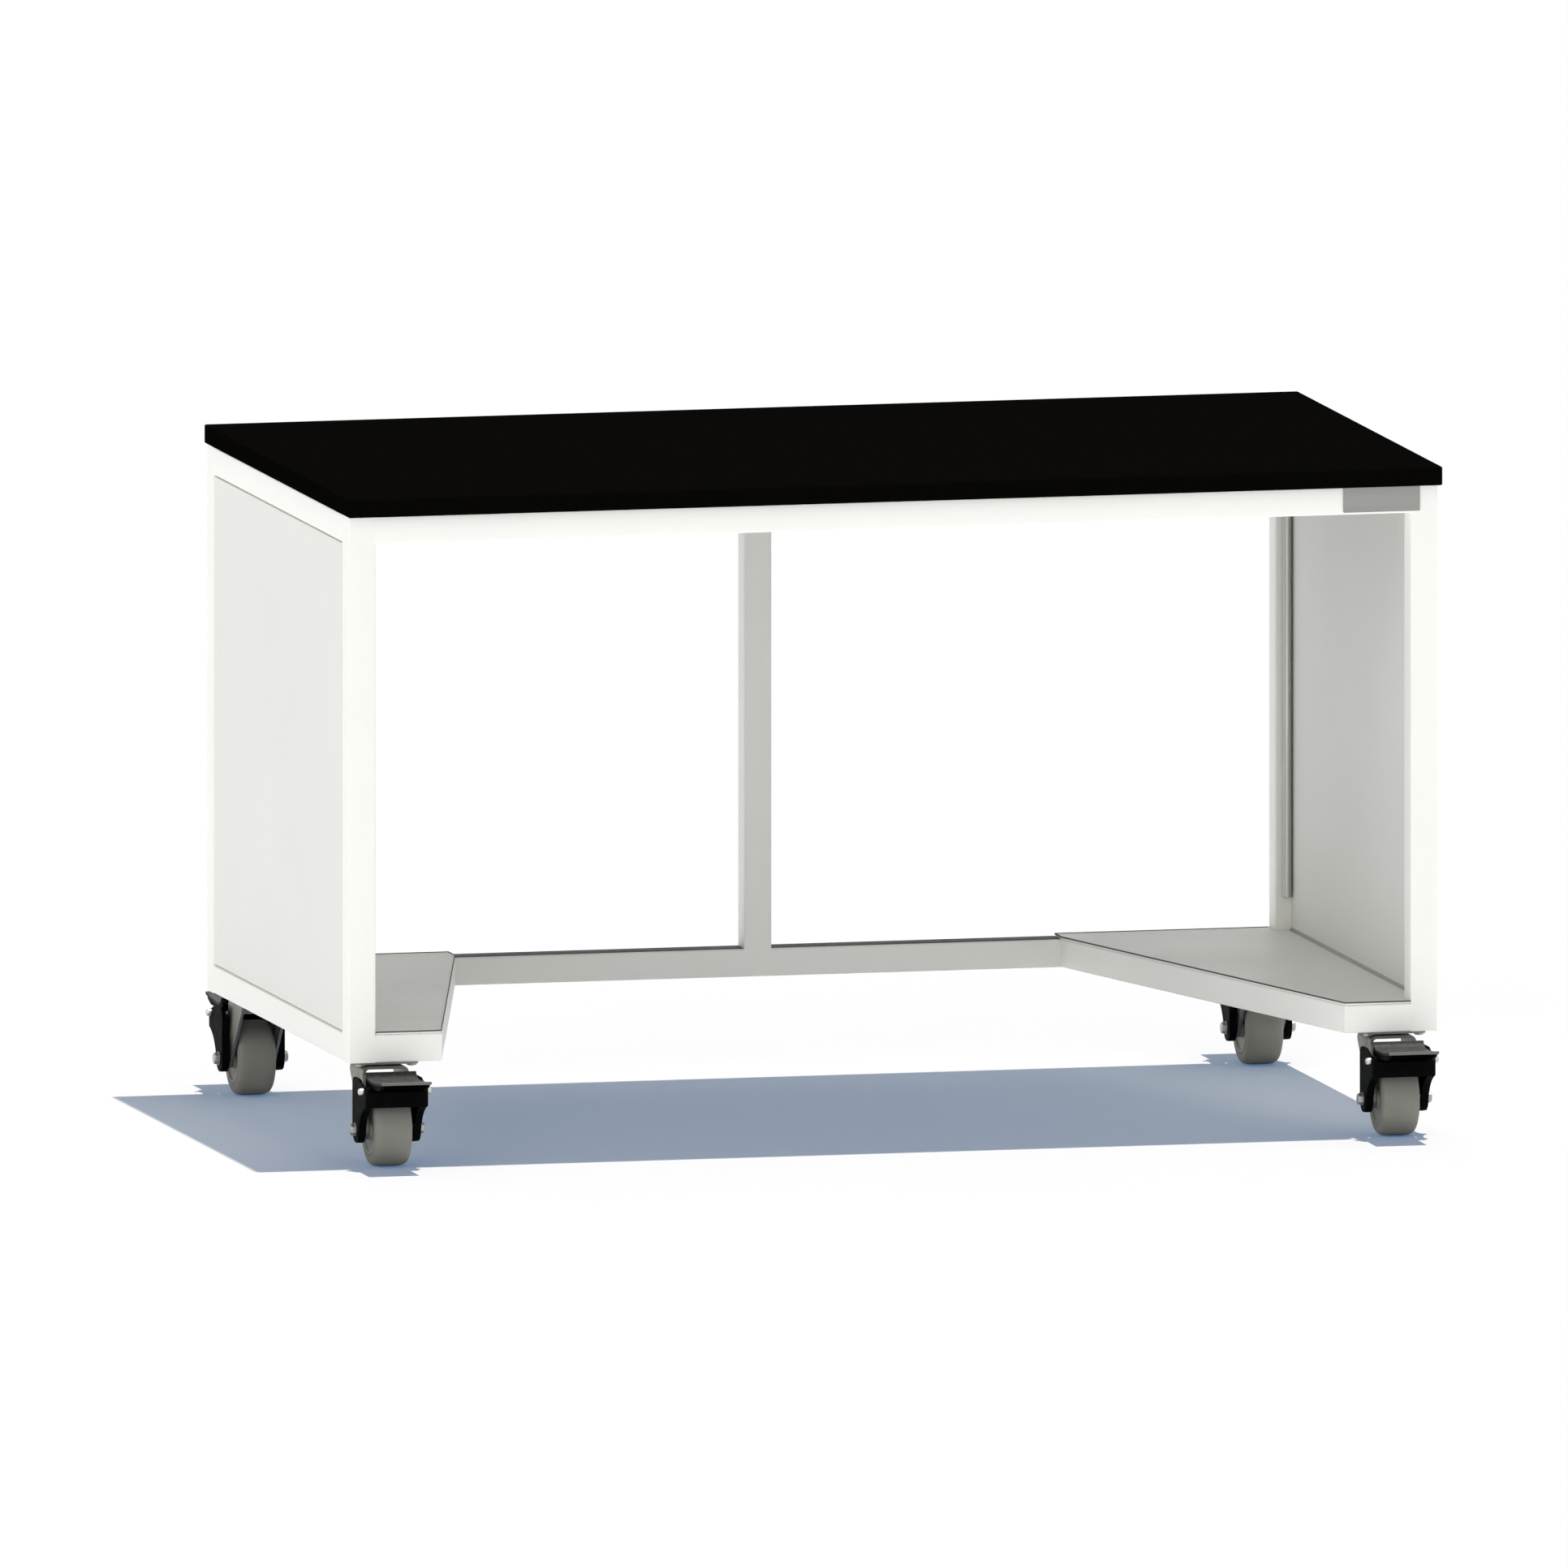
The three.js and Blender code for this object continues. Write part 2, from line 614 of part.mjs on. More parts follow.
// Brake cover: two cheeks outside the fork, held by the axle and the pivot pin, and a skirt across the front.
function brakeCover() {
  const top = CASTER_HEIGHT - COVER_TOP_DROP;
  const nose = CASTER_HEIGHT - COVER_NOSE_DROP;
  const chin = CASTER_HEIGHT - COVER_CHIN_DROP;
  const cheek = new THREE.Shape();
  const to = (ahead, height) => cheek.lineTo(axleY - ahead, height);
  cheek.moveTo(axleY + COVER_EAR, axleZ);
  to(-COVER_EAR, top - COVER_TOP_CORNER);
  const corner = aheadPoint(COVER_TOP_CORNER - COVER_EAR, top - COVER_TOP_CORNER);
  cheek.absarc(corner.x, corner.y, COVER_TOP_CORNER, 0, Math.PI / 2);
  to(COVER_SHOULDER_AHEAD, top);
  to(COVER_AHEAD, nose);
  to(COVER_AHEAD, chin);
  const chinEnd = aheadPoint(COVER_AHEAD - COVER_CHIN_CORNER, chin - COVER_CHIN_CORNER);
  cheek.quadraticCurveTo(axleY - COVER_AHEAD, chin - COVER_CHIN_CORNER, chinEnd.x, chinEnd.y);
  const throat = aheadPoint(COVER_THROAT_AHEAD, CASTER_HEIGHT - COVER_THROAT_DROP);
  cheek.quadraticCurveTo(throat.x, throat.y, axleY - COVER_EAR, axleZ);
  cheek.absarc(axleY, axleZ, COVER_EAR, Math.PI, 2 * Math.PI);
  const front = axleY - COVER_AHEAD;
  const rear = axleY + COVER_EAR;
  const low = CASTER_HEIGHT - SKIRT_DROP;
  const skirt = box(-coverOuter, coverOuter, front, front + COVER_FRONT_CORNER, low, nose);
  const block = joined(crosswise(cheek, -coverOuter, coverOuter), skirt);
  const outside = coverPlan(coverOuter, front, rear, COVER_FRONT_CORNER);
  const innerCorner = COVER_FRONT_CORNER - COVER_WALL;
  const inside = coverPlan(coverInner, front + COVER_WALL, rear + COVER_WALL, innerCorner);
  const lowest = axleZ - COVER_EAR;
  const shell = cut(
    upright(outside, lowest - COVER_WALL, top + COVER_WALL, ROUND_STEPS),
    upright(inside, lowest - 2 * COVER_WALL, top + 2 * COVER_WALL, ROUND_STEPS),
  );
  const holes = [
    crossBar(AXLE_RADIUS + AXLE_PLAY, -COVER_WIDTH, COVER_WIDTH, axleY, axleZ),
    crossBar(PIN_RADIUS + PIN_PLAY, -COVER_WIDTH, COVER_WIDTH, pinY, pinZ),
  ];
  return cut(common(shell, block), ...holes);
}

// The pin has a head outside each cheek.
function pivotPin() {
  const end = PIN_LENGTH / 2;
  const seat = coverOuter + WELD_GAP;
  const shankEnd = end - SHANK_SET_BACK;
  const shank = crossBar(PIN_RADIUS, -shankEnd, shankEnd, pinY, pinZ);
  const heads = [
    crossBar(PIN_HEAD_RADIUS, -end, -seat, pinY, pinZ),
    crossBar(PIN_HEAD_RADIUS, seat, end, pinY, pinZ),
  ];
  return joined(shank, ...heads);
}

// Brake pedal: a long tread plate that dips behind its lip, two side walls that carry it on the pin, and the
// shoe below the pivot that meets the tyre.
function brakePedal() {
  const half = coverInner - PEDAL_SIDE_GAP;
  const treadLine = [
    aheadPoint(PEDAL_HEEL_AHEAD, CASTER_HEIGHT - PEDAL_HEEL_DROP),
    aheadPoint(PEDAL_DIP_AHEAD, CASTER_HEIGHT - PEDAL_DIP_DROP),
    aheadPoint(PEDAL_RISE_AHEAD, CASTER_HEIGHT - PEDAL_RISE_DROP),
    aheadPoint(PEDAL_LIP_AHEAD, CASTER_HEIGHT - PEDAL_LIP_DROP),
  ];
  const lowered = (depth) => treadLine.map((point) => new THREE.Vector2(point.x, point.y - depth));
  const section = new THREE.Shape([...treadLine, ...lowered(PEDAL_THICKNESS).reverse()]);
  const plate = crosswise(section, -half, half);

  const shoeReach = WHEEL_RADIUS + SHOE_GAP;
  const shoeLow = axleZ + Math.sqrt(shoeReach ** 2 - SHOE_AHEAD ** 2);
  const shoeFront = axleY - SHOE_AHEAD - SHOE_DEPTH;
  const shoeBack = axleY - SHOE_AHEAD;
  const wallOuter = half - PEDAL_WALL_INSET;
  const wallInner = wallOuter - PEDAL_WALL;
  const wallLow = CASTER_HEIGHT - COVER_NOSE_DROP + PEDAL_NOSE_GAP;
  const [heel, dip, rise, lip] = lowered(PEDAL_THICKNESS / 2);
  const beak = aheadPoint(PEDAL_BEAK_AHEAD, CASTER_HEIGHT - PEDAL_BEAK_DROP);
  const wall = new THREE.Shape();
  wall.moveTo(heel.x - PEDAL_WALL_INSET, pinZ);
  wall.lineTo(heel.x - PEDAL_WALL_INSET, heel.y);
  wall.lineTo(dip.x, dip.y);
  wall.lineTo(rise.x, rise.y);
  wall.lineTo(lip.x + PEDAL_WALL_INSET, lip.y);
  wall.lineTo(beak.x, beak.y);
  wall.lineTo(axleY - PEDAL_WALL_AHEAD, wallLow);
  wall.lineTo(pinY - PEDAL_LUG_RADIUS, wallLow);
  wall.absarc(pinY, pinZ, PEDAL_LUG_RADIUS, Math.PI, 1.5 * Math.PI);
  wall.lineTo(shoeFront, shoeLow);
  wall.lineTo(shoeBack, shoeLow);
  const walls = [crosswise(wall, -wallOuter, -wallInner), crosswise(wall, wallInner, wallOuter)];
  const shoe = box(-wallOuter, wallOuter, shoeFront, shoeBack, shoeLow, shoeLow + SHOE_HEIGHT);
  const pinHole = crossBar(PIN_RADIUS + PIN_PLAY, -half, half, pinY, pinZ);
  return cut(joined(plate, ...walls, shoe), pinHole);
}

function addCaster(end, side) {
  const place = `${end.name}_${side.name}`;
  const caster = new THREE.Group();
  caster.position.set(side.sign * (halfWidth - CASTER_SIDE), end.sign * (halfDepth - CASTER_END), 0);
  if (end.sign > 0) caster.rotation.z = Math.PI;
  addMesh(caster, `caster_plate_${place}`, casterPlate(), zincPlate);
  addMesh(caster, `caster_fork_${place}`, fork(), zincPlate);
  addMesh(caster, `axle_bolt_${place}`, axleBolt(), brightSteel);
  addMesh(caster, `wheel_hub_${place}`, hub(), hubPlastic);
  addMesh(caster, `tyre_${place}`, tyre(), greyRubber);
  addMesh(caster, `brake_cover_${place}`, brakeCover(), blackPlastic);
  addMesh(caster, `brake_pedal_${place}`, brakePedal(), blackPlastic);
  addMesh(caster, `brake_pin_${place}`, pivotPin(), brightSteel);
  bench.add(caster);
}

addWorktop();
addPosts();
addRails();
for (const side of sides) {
  addToeRail(side);
  addSlantRail(side);
  addCornerShelf(side);
  addCasterMounts(side);
  addSidePanel(side);
}
addBadge();
addConduit();
for (const end of ends) {
  for (const side of sides) addCaster(end, side);
}

export default bench;
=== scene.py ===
# %% [markdown]
# # A mobile laboratory bench
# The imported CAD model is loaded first, as a fixed frame. It knows where every tube, plate and caster sits,
# and how the casters swivel, roll and brake. The cells below dress it: finer surfaces where the plain CAD
# shapes show their facets, real finishes everywhere, and the light and camera of the photograph.

# %% Load the frame
import json
import math

import bmesh
import bpy
import numpy as np
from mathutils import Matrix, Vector


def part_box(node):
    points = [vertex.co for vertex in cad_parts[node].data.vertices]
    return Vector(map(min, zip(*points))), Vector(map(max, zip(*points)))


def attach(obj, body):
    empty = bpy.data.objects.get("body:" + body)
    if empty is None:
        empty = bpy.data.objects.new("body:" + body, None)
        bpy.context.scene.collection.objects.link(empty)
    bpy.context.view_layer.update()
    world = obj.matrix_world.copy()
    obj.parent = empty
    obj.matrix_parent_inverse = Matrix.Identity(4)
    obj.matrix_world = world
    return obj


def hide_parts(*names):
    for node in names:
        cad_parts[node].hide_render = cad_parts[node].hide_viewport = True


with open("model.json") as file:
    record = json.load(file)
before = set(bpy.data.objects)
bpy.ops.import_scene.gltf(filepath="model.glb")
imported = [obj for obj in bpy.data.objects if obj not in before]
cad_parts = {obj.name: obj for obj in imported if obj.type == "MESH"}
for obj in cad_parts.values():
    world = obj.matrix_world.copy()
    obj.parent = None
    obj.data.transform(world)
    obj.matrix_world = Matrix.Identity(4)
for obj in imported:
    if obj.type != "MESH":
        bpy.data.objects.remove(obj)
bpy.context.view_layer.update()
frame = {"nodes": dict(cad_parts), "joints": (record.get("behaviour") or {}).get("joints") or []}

MM = 0.001
nodes = frame["nodes"]
joints = {joint["name"]: joint for joint in frame["joints"]}
joint_at = {name: np.array(joint["pos_m"]) for name, joint in joints.items()}

# %% [markdown]
# ## The camera
# The upright edges of the bench stay parallel in the picture and so do its depth edges: it was drawn in
# parallel projection. A very long lens would come close, but an orthographic camera does it exactly. Its
# angles came from where the bench's corners fall in the picture, and its scale from the known height of
# the bench.

# %% Camera
PICTURE = 1932
PIXELS_PER_METRE = 909.84
ORIGIN_PIXEL = (1013.24, 1373.53)
AZIMUTH = math.radians(-13.55)
ELEVATION = math.radians(7.232)
CAMERA_DISTANCE = 6.0

backwards = Vector((math.sin(AZIMUTH) * math.cos(ELEVATION),
                    -math.cos(AZIMUTH) * math.cos(ELEVATION),
                    math.sin(ELEVATION)))
right = Vector((math.cos(AZIMUTH), math.sin(AZIMUTH), 0.0))
up = backwards.cross(right)
aim = (right * (PICTURE / 2 - ORIGIN_PIXEL[0]) + up * (ORIGIN_PIXEL[1] - PICTURE / 2)) / PIXELS_PER_METRE

camera = bpy.data.objects.new("camera", bpy.data.cameras.new("camera"))
camera.data.type = "ORTHO"
camera.data.ortho_scale = PICTURE / PIXELS_PER_METRE
camera.location = aim + backwards * CAMERA_DISTANCE
camera.rotation_euler = (-backwards).to_track_quat("-Z", "Y").to_euler()
bpy.context.scene.collection.objects.link(camera)
bpy.context.scene.camera = camera
print("the picture is", round(camera.data.ortho_scale, 3), "m wide")

# %% [markdown]
# ## Nodes and colours
# Every finish below is a small node tree. Colours are written as they are read off a screen, so one
# function turns them into the linear values that shaders work with. Patterns are sized in millimetres of
# the real surface: a noise of scale 100 has about 100 grains to the metre, so a grain of 10 mm needs 1000
# / 10.

# %% Node helpers
def linear(colour):
    """A screen colour such as "#f7f7f1" as linear red, green, blue and an alpha of one."""
    screen = np.array([int(colour[i:i + 2], 16) for i in (1, 3, 5)]) / 255
    light = np.where(screen <= 0.04045, screen / 12.92, ((screen + 0.055) / 1.055) ** 2.4)
    return (*light.tolist(), 1.0)


def per_metre(grain):
    """The texture scale at which one grain is that many millimetres across."""
    return 1000.0 / grain


def add(tree, kind, inputs, **settings):
    """Adds a node with its settings. Inputs are values or the output sockets of other nodes."""
    made = tree.nodes.new(kind)
    for name, value in settings.items():
        setattr(made, name, value)
    for socket, value in inputs.items():
        if isinstance(value, bpy.types.NodeSocket):
            tree.links.new(value, made.inputs[socket])
        else:
            made.inputs[socket].default_value = value
    return made


def empty_tree(owner):
    """The owner's node tree, switched on and cleared."""
    owner.use_nodes = True
    owner.node_tree.nodes.clear()
    return owner.node_tree


print("white is", linear("#ffffff"))

# %% [markdown]
# ## One shape for most finishes
# A painted, moulded or plated surface is never one flat colour. Paint has thin and thick places, a
# moulding has flow marks, and each has a skin that catches the light unevenly. Pictures wrapped round the
# pieces could show that, but noise in a piece's own coordinates needs no unwrapping and is sized in
# millimetres. All the finishes need the same few nodes: a wide mottle between two close colours, a change
# of gloss, and a fine relief. A Mix node has sockets for numbers, vectors and colours under the same
# names, so its two colours are reached by their places.

# %% The common finish
COLOUR_A, COLOUR_B = 6, 7
MOTTLE_DETAIL, MOTTLE_ROUGHNESS = 4.0, 0.55
GRAIN_DETAIL = 2.0
NOISE_LOW, NOISE_HIGH = 0.3, 0.7


def finish(name, colours, mottle, gloss, grain, relief, stretch=(1.0, 1.0, 1.0), **shader):
    """A material that mottles between two colours over patches of `mottle` mm, with a roughness between the
    two `gloss` values and a relief of `relief` mm in grains of `grain` mm, drawn out along the axes with a
    small `stretch`."""
    made = bpy.data.materials.new(name)
    tree = empty_tree(made)
    where = add(tree, "ShaderNodeTexCoord", {}).outputs["Object"]
    drawn = add(tree, "ShaderNodeMapping", {"Vector": where, "Scale": stretch}).outputs["Vector"]
    patches = add(tree, "ShaderNodeTexNoise",
                  {"Vector": drawn, "Scale": per_metre(mottle), "Detail": MOTTLE_DETAIL,
                   "Roughness": MOTTLE_ROUGHNESS})
    colour = add(tree, "ShaderNodeMix", {0: patches.outputs["Fac"], COLOUR_A: linear(colours[0]),
                                         COLOUR_B: linear(colours[1])}, data_type="RGBA")
    sheen = add(tree, "ShaderNodeMapRange",
                {"Value": patches.outputs["Fac"], "From Min": NOISE_LOW, "From Max": NOISE_HIGH,
                 "To Min": gloss[0], "To Max": gloss[1]})
    grains = add(tree, "ShaderNodeTexNoise",
                 {"Vector": drawn, "Scale": per_metre(grain), "Detail": GRAIN_DETAIL})
    relieved = add(tree, "ShaderNodeBump", {"Height": grains.outputs["Fac"], "Strength": 1.0,
                                            "Distance": relief * MM})
    surface = add(tree, "ShaderNodeBsdfPrincipled", {"Base Color": colour.outputs[2],
                                                     "Roughness": sheen.outputs["Result"],
                                                     "Normal": relieved.outputs["Normal"], **shader})
    add(tree, "ShaderNodeOutputMaterial", {"Surface": surface.outputs["BSDF"]})
    return made


print("a Mix node takes its colours at sockets", COLOUR_A, "and", COLOUR_B)

# %% [markdown]
# ## The finishes of the bench
# Each finish is one real material and what its making leaves for the eye. The numbers are the size of the
# mottle, the range of the roughness, and the size and height of the grain.

# %% Finishes of the frame and top
# Powder coat is sprayed dry and baked: it flows into a faint orange peel with soft, even gloss.
powder_coat = finish("white powder coat", ("#f7f7f1", "#f3f3ed"), 140, (0.42, 0.52), 3.0, 0.03)
# Laminate is pressed under a matt plate: flatter than paint, with a very fine tooth.
laminate = finish("white laminate", ("#e6e6e1", "#e1e1dc"), 220, (0.55, 0.65), 2.0, 0.02)
# Phenolic resin is cast black right through and rubbed matt for the bench: fine dark specks and no shine.
resin = finish("black phenolic resin", ("#090807", "#060605"), 4.0, (0.7, 0.85), 1.6, 0.02,
               **{"Specular IOR Level": 0.0})
print("frame and top:", powder_coat.name, "/", laminate.name, "/", resin.name)

# %% Finishes of the casters
# Zinc plate over pressed steel: dull grey, with drawing marks along the press.
zinc = finish("zinc plated steel", ("#8d8c85", "#807f78"), 18, (0.4, 0.55), 1.4, 0.02, (1.0, 1.0, 0.35),
              Metallic=1.0)
# Bolts are cold-headed and plated: smoother and lighter than the pressings.
bolt_zinc = finish("zinc plated bolt steel", ("#b4b4af", "#a4a49f"), 6, (0.32, 0.45), 0.9, 0.01,
                   Metallic=1.0)
# Rivets are headed over at the end, which polishes them.
bright_zinc = finish("bright zinc steel", ("#d6d6d1", "#c6c6c1"), 6, (0.25, 0.38), 0.9, 0.01, Metallic=1.0)
# The tread is a moulded thermoplastic rubber: dead matt, a little dusty, rolled smooth round the wheel.
tread = finish("grey tread rubber", ("#85847e", "#7a7973"), 22, (0.7, 0.85), 1.2, 0.05, (0.4, 1.0, 1.0),
               **{"Specular IOR Level": 0.25})
# The hub is moulded polyolefin: waxy, with flow marks.
hub_plastic = finish("grey polyolefin", ("#7d7c76", "#74736d"), 30, (0.45, 0.6), 1.5, 0.02)
# Brake cover and pedal are glass-filled nylon: black, with the fine grain of a spark-eroded mould.
nylon = finish("black glass-filled nylon", ("#060606", "#030303"), 12, (0.55, 0.7), 1.1, 0.03,
               **{"Specular IOR Level": 0.03})
print("casters:", zinc.name, "/", tread.name, "/", hub_plastic.name, "/", nylon.name)

# %% Finishes of the trim
# Anodised aluminium keeps the lines of its brushing under a clear satin film.
brushed = finish("brushed aluminium along x", ("#a2a29f", "#989895"), 6, (0.34, 0.46), 0.8, 0.01,
                 (0.03, 1.0, 1.0), Metallic=1.0)
# Drawn aluminium tube has the die's fine lines along it.
drawn_tube = finish("drawn aluminium along z", ("#c6c6c2", "#b8b8b4"), 6, (0.34, 0.46), 0.8, 0.01,
                    (1.0, 1.0, 0.03), Metallic=1.0)
# Painted shade: a dark blue-grey finish for thin strips that stand for shade along the shelf edges and on the
# rear rail, with a dry skin.
painted_shade_strip = finish("dark sealing rubber", ("#4b4e54", "#3f4247"), 15, (0.6, 0.75), 1.0, 0.03,
                        **{"Specular IOR Level": 0.3})
# Painted shade: an even grey for the cove that stands for shade in the joint between shelf plate and side
# panel, with a soft skin.
painted_joint_shade = finish("grey joint sealant", ("#a9a9a5", "#a0a09c"), 25, (0.5, 0.65), 2.0, 0.04)
print("trim:", brushed.name, "/", drawn_tube.name, "/", painted_shade_strip.name, "/", painted_joint_shade.name)

# %% [markdown]
# ## Painted sunlight on the pedals
# The sun from above greys the black pedals where they look up, and that light is painted into their
# colour. A painted mask could say where, but the upward part of the surface normal already does. So the
# same black nylon gets a second, grey colour for painted sunlight on faces that look up, broken up by
# small streaks. The last two millimetres of the lip get a paler painted highlight still.

# %% Pedals with painted sunlight
LIP = -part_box("brake_pedal_front_left")[0].y
LIP_HIGHLIGHT, LIP_HIGHLIGHT_SHARE = 2.2 * MM, 0.9
SUNLIT_UP = 0.8
STREAK, STREAK_STRETCH, STREAK_DETAIL = 4, (1.0, 0.15, 1.0), 5.0
# Painted sunlight: faces that look up turn from black to grey, and the lip gets a paler painted highlight.
sunlit_nylon = finish("black nylon scuffed by shoes", ("#060606", "#030303"), 12, (0.45, 0.6), 1.1, 0.03,
                 **{"Specular IOR Level": 0.12})
tree = sunlit_nylon.node_tree
shader = next(node for node in tree.nodes if node.type == "BSDF_PRINCIPLED")
black = shader.inputs["Base Color"].links[0].from_socket
facing = add(tree, "ShaderNodeSeparateXYZ", {0: add(tree, "ShaderNodeNewGeometry", {}).outputs["Normal"]})
sunlit_top = add(tree, "ShaderNodeMapRange",
              {"Value": facing.outputs["Z"], "From Min": 0.0, "From Max": SUNLIT_UP})
where = add(tree, "ShaderNodeTexCoord", {}).outputs["Object"]
drawn = add(tree, "ShaderNodeMapping", {"Vector": where, "Scale": STREAK_STRETCH}).outputs["Vector"]
streaks = add(tree, "ShaderNodeTexNoise",
                {"Vector": drawn, "Scale": per_metre(STREAK), "Detail": STREAK_DETAIL})
sunlit_share = add(tree, "ShaderNodeMath", {0: sunlit_top.outputs["Result"], 1: streaks.outputs["Fac"]},
           operation="MULTIPLY")
outwards = add(tree, "ShaderNodeMath", {0: add(tree, "ShaderNodeSeparateXYZ", {0: where}).outputs["Y"]},
               operation="ABSOLUTE")
# Painted highlight along the last two millimetres of the lip.
lip_highlight = add(tree, "ShaderNodeMapRange", {"Value": outwards.outputs[0], "From Min": LIP - LIP_HIGHLIGHT,
                                          "From Max": LIP - LIP_HIGHLIGHT / 2, "To Max": LIP_HIGHLIGHT_SHARE})
grey = add(tree, "ShaderNodeMix", {0: sunlit_share.outputs[0], COLOUR_A: black, COLOUR_B: linear("#565654")},
           data_type="RGBA")
pale = add(tree, "ShaderNodeMix", {0: lip_highlight.outputs["Result"], COLOUR_A: grey.outputs[2],
                                   COLOUR_B: linear("#6e6e6a")}, data_type="RGBA")
tree.links.new(pale.outputs[2], shader.inputs["Base Color"])
print("painted sunlight on", sunlit_nylon.name)

# %% [markdown]
# ## Surfaces from arrays
# A new piece is one or more grids of points. A closed ring of points is carried from station to station,
# and neighbouring stations are joined by four-sided faces. Pushing and cutting simple solids gives such
# shapes too, but a grid follows its formula exactly and leaves no stray faces behind. Points that fall
# together at a pole are merged, and the faces are turned outwards before any thickness is added.

# %% Grids
def skin(rings, closed=False):
    """Rings of shape (stations, points, 3) as points and faces. Each ring joins up with itself and with the
    next. A closed skin joins its last ring to its first, and any other gets a face over each end."""
    rings = np.asarray(rings, dtype=float)
    index = np.arange(rings.shape[0] * rings.shape[1]).reshape(rings.shape[:2])
    beside = np.roll(index, -1, axis=1)
    quads = np.stack([index, beside, np.roll(beside, -1, axis=0), np.roll(index, -1, axis=0)], axis=-1)
    if closed:
        return rings.reshape(-1, 3), quads.reshape(-1, 4).tolist()
    ends = [index[0, ::-1].tolist(), index[-1].tolist()]
    return rings.reshape(-1, 3), quads[:-1].reshape(-1, 4).tolist() + ends


def sheet(points):
    """An open grid of shape (rows, columns, 3) as points and faces."""
    index = np.arange(points.shape[0] * points.shape[1]).reshape(points.shape[:2])
    quads = np.stack([index[:-1, :-1], index[:-1, 1:], index[1:, 1:], index[1:, :-1]], axis=-1)
    return points.reshape(-1, 3), quads.reshape(-1, 4).tolist()


print("two rings of four points make", len(skin(np.zeros((2, 4, 3)))[1]), "faces")

# %% [markdown]
# A piece is one object with one finish that rides on one body. Blender's Solidify turns an open sheet into
# a wall, and Bevel rounds its sharp edges, which is less work than drawing every small radius into the
# grid.

# %% Pieces
MERGED = 1e-6
SHARP = math.radians(35)
ROUNDED = math.radians(40)
ROUND_STEPS = 3


def piece(name, surfaces, material, body, slot, stands_for=(), wall=0.0, edge=0.0):
    """One object from several surfaces, riding on a body. `wall` thickens open sheets to both sides and
    `edge` rounds the sharp edges."""
    offsets = np.cumsum([0] + [len(points) for points, _ in surfaces])
    points = np.concatenate([points for points, _ in surfaces])
    faces = [[int(start) + i for i in face] for start, (_, some) in zip(offsets, surfaces) for face in some]
    mesh = bpy.data.meshes.new(name)
    mesh.from_pydata(points.tolist(), [], faces)
    work = bmesh.new()
    work.from_mesh(mesh)
    bmesh.ops.remove_doubles(work, verts=work.verts, dist=MERGED)
    bmesh.ops.recalc_face_normals(work, faces=work.faces)
    work.to_mesh(mesh)
    work.free()
    mesh.shade_smooth()
    mesh.set_sharp_from_angle(angle=SHARP)
    mesh.materials.append(material)
    made = bpy.data.objects.new(name, mesh)
    bpy.context.scene.collection.objects.link(made)
    if wall:
        thick = made.modifiers.new("wall", "SOLIDIFY")
        thick.thickness = wall
        thick.offset = 0.0
    if edge:
        rounding = made.modifiers.new("edge", "BEVEL")
        rounding.width = edge
        rounding.segments = ROUND_STEPS
        rounding.limit_method = "ANGLE"
        rounding.angle_limit = ROUNDED
        even = made.modifiers.new("even shading", "WEIGHTED_NORMAL")
        even.keep_sharp = False
    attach(made, body)
    if stands_for:
        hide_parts(*stands_for)
    return made


print("edges sharper than", round(math.degrees(ROUNDED)), "degrees can be rounded")

# %% [markdown]
# Three forms come back all over the bench: a rounded rectangle, a flat outline lifted to a height, and a
# profile turned about the x direction, as on a lathe.

# %% Rings
def rounded_square(width, height, radius, steps=6):
    """Points round a rectangle with quarter circles of that radius at its corners, as (x, y) about its
    middle."""
    turn = np.linspace(0, math.pi / 2, steps + 1)
    corners = np.arange(4)[:, None] * math.pi / 2
    reach = np.array([[1, 1], [-1, 1], [-1, -1], [1, -1]]) * [width / 2 - radius, height / 2 - radius]
    arcs = np.stack([np.cos(turn + corners), np.sin(turn + corners)], axis=-1) * radius
    return (arcs + reach[:, None, :]).reshape(-1, 2)


def lifted(outline, height):
    """An outline in (x, y) as a ring at one height."""
    return np.column_stack([outline, np.full(len(outline), height)])


def lathe(profile, centre, steps):
    """A profile of (x, radius) pairs turned about the x direction through a centre (y, z)."""
    turn = np.linspace(0, 2 * math.pi, steps, endpoint=False)
    x, radius = np.asarray(profile, dtype=float).T[:, :, None]
    flat = np.zeros_like(turn)
    return np.stack([x + flat, centre[0] + radius * np.cos(turn), centre[1] + radius * np.sin(turn)],
                    axis=-1)


print("a rounded square has", len(rounded_square(1, 1, 0.1)), "points")

# %% [markdown]
# ## The worktop
# The top is a slab of cast resin with its edges eased so that a sleeve slides over them. A cube with a
# Bevel modifier would come close, but its corners seen from above are rounder than its eased edges. So a
# rounded rectangle is carried round the edge: it starts inside the round-over below, goes out to the full
# outline, and comes in again above. The two flat faces close it.

# %% Worktop
EASED_EDGE = 2.0 * MM
TOP_CORNER = 4.0 * MM


def slab(low, high, corner, ease, steps=5):
    """A plate between two corners. Its outline shrinks by ease * (1 - sin) near each face while its height
    runs as ease * (1 - cos), which is a quarter circle round every edge."""
    turn = np.linspace(0, math.pi / 2, steps + 1)
    shrink = ease * np.concatenate([1 - np.sin(turn), 1 - np.cos(turn)])
    heights = np.concatenate([low[2] + ease * (1 - np.cos(turn)), high[2] - ease * (1 - np.sin(turn))])
    size = np.array(high[:2]) - np.array(low[:2])
    middle = (np.array(high[:2]) + np.array(low[:2])) / 2
    outlines = [rounded_square(*(size - 2 * inset), corner - inset) + middle for inset in shrink]
    return skin([lifted(outline, height) for outline, height in zip(outlines, heights)])


low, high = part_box("worktop")
piece("worktop_slab", [slab(low, high, TOP_CORNER, EASED_EDGE)], resin, "bench_frame", "worktop_resin",
      ["worktop"])
print("worktop", [round(v, 4) for v in high - low])

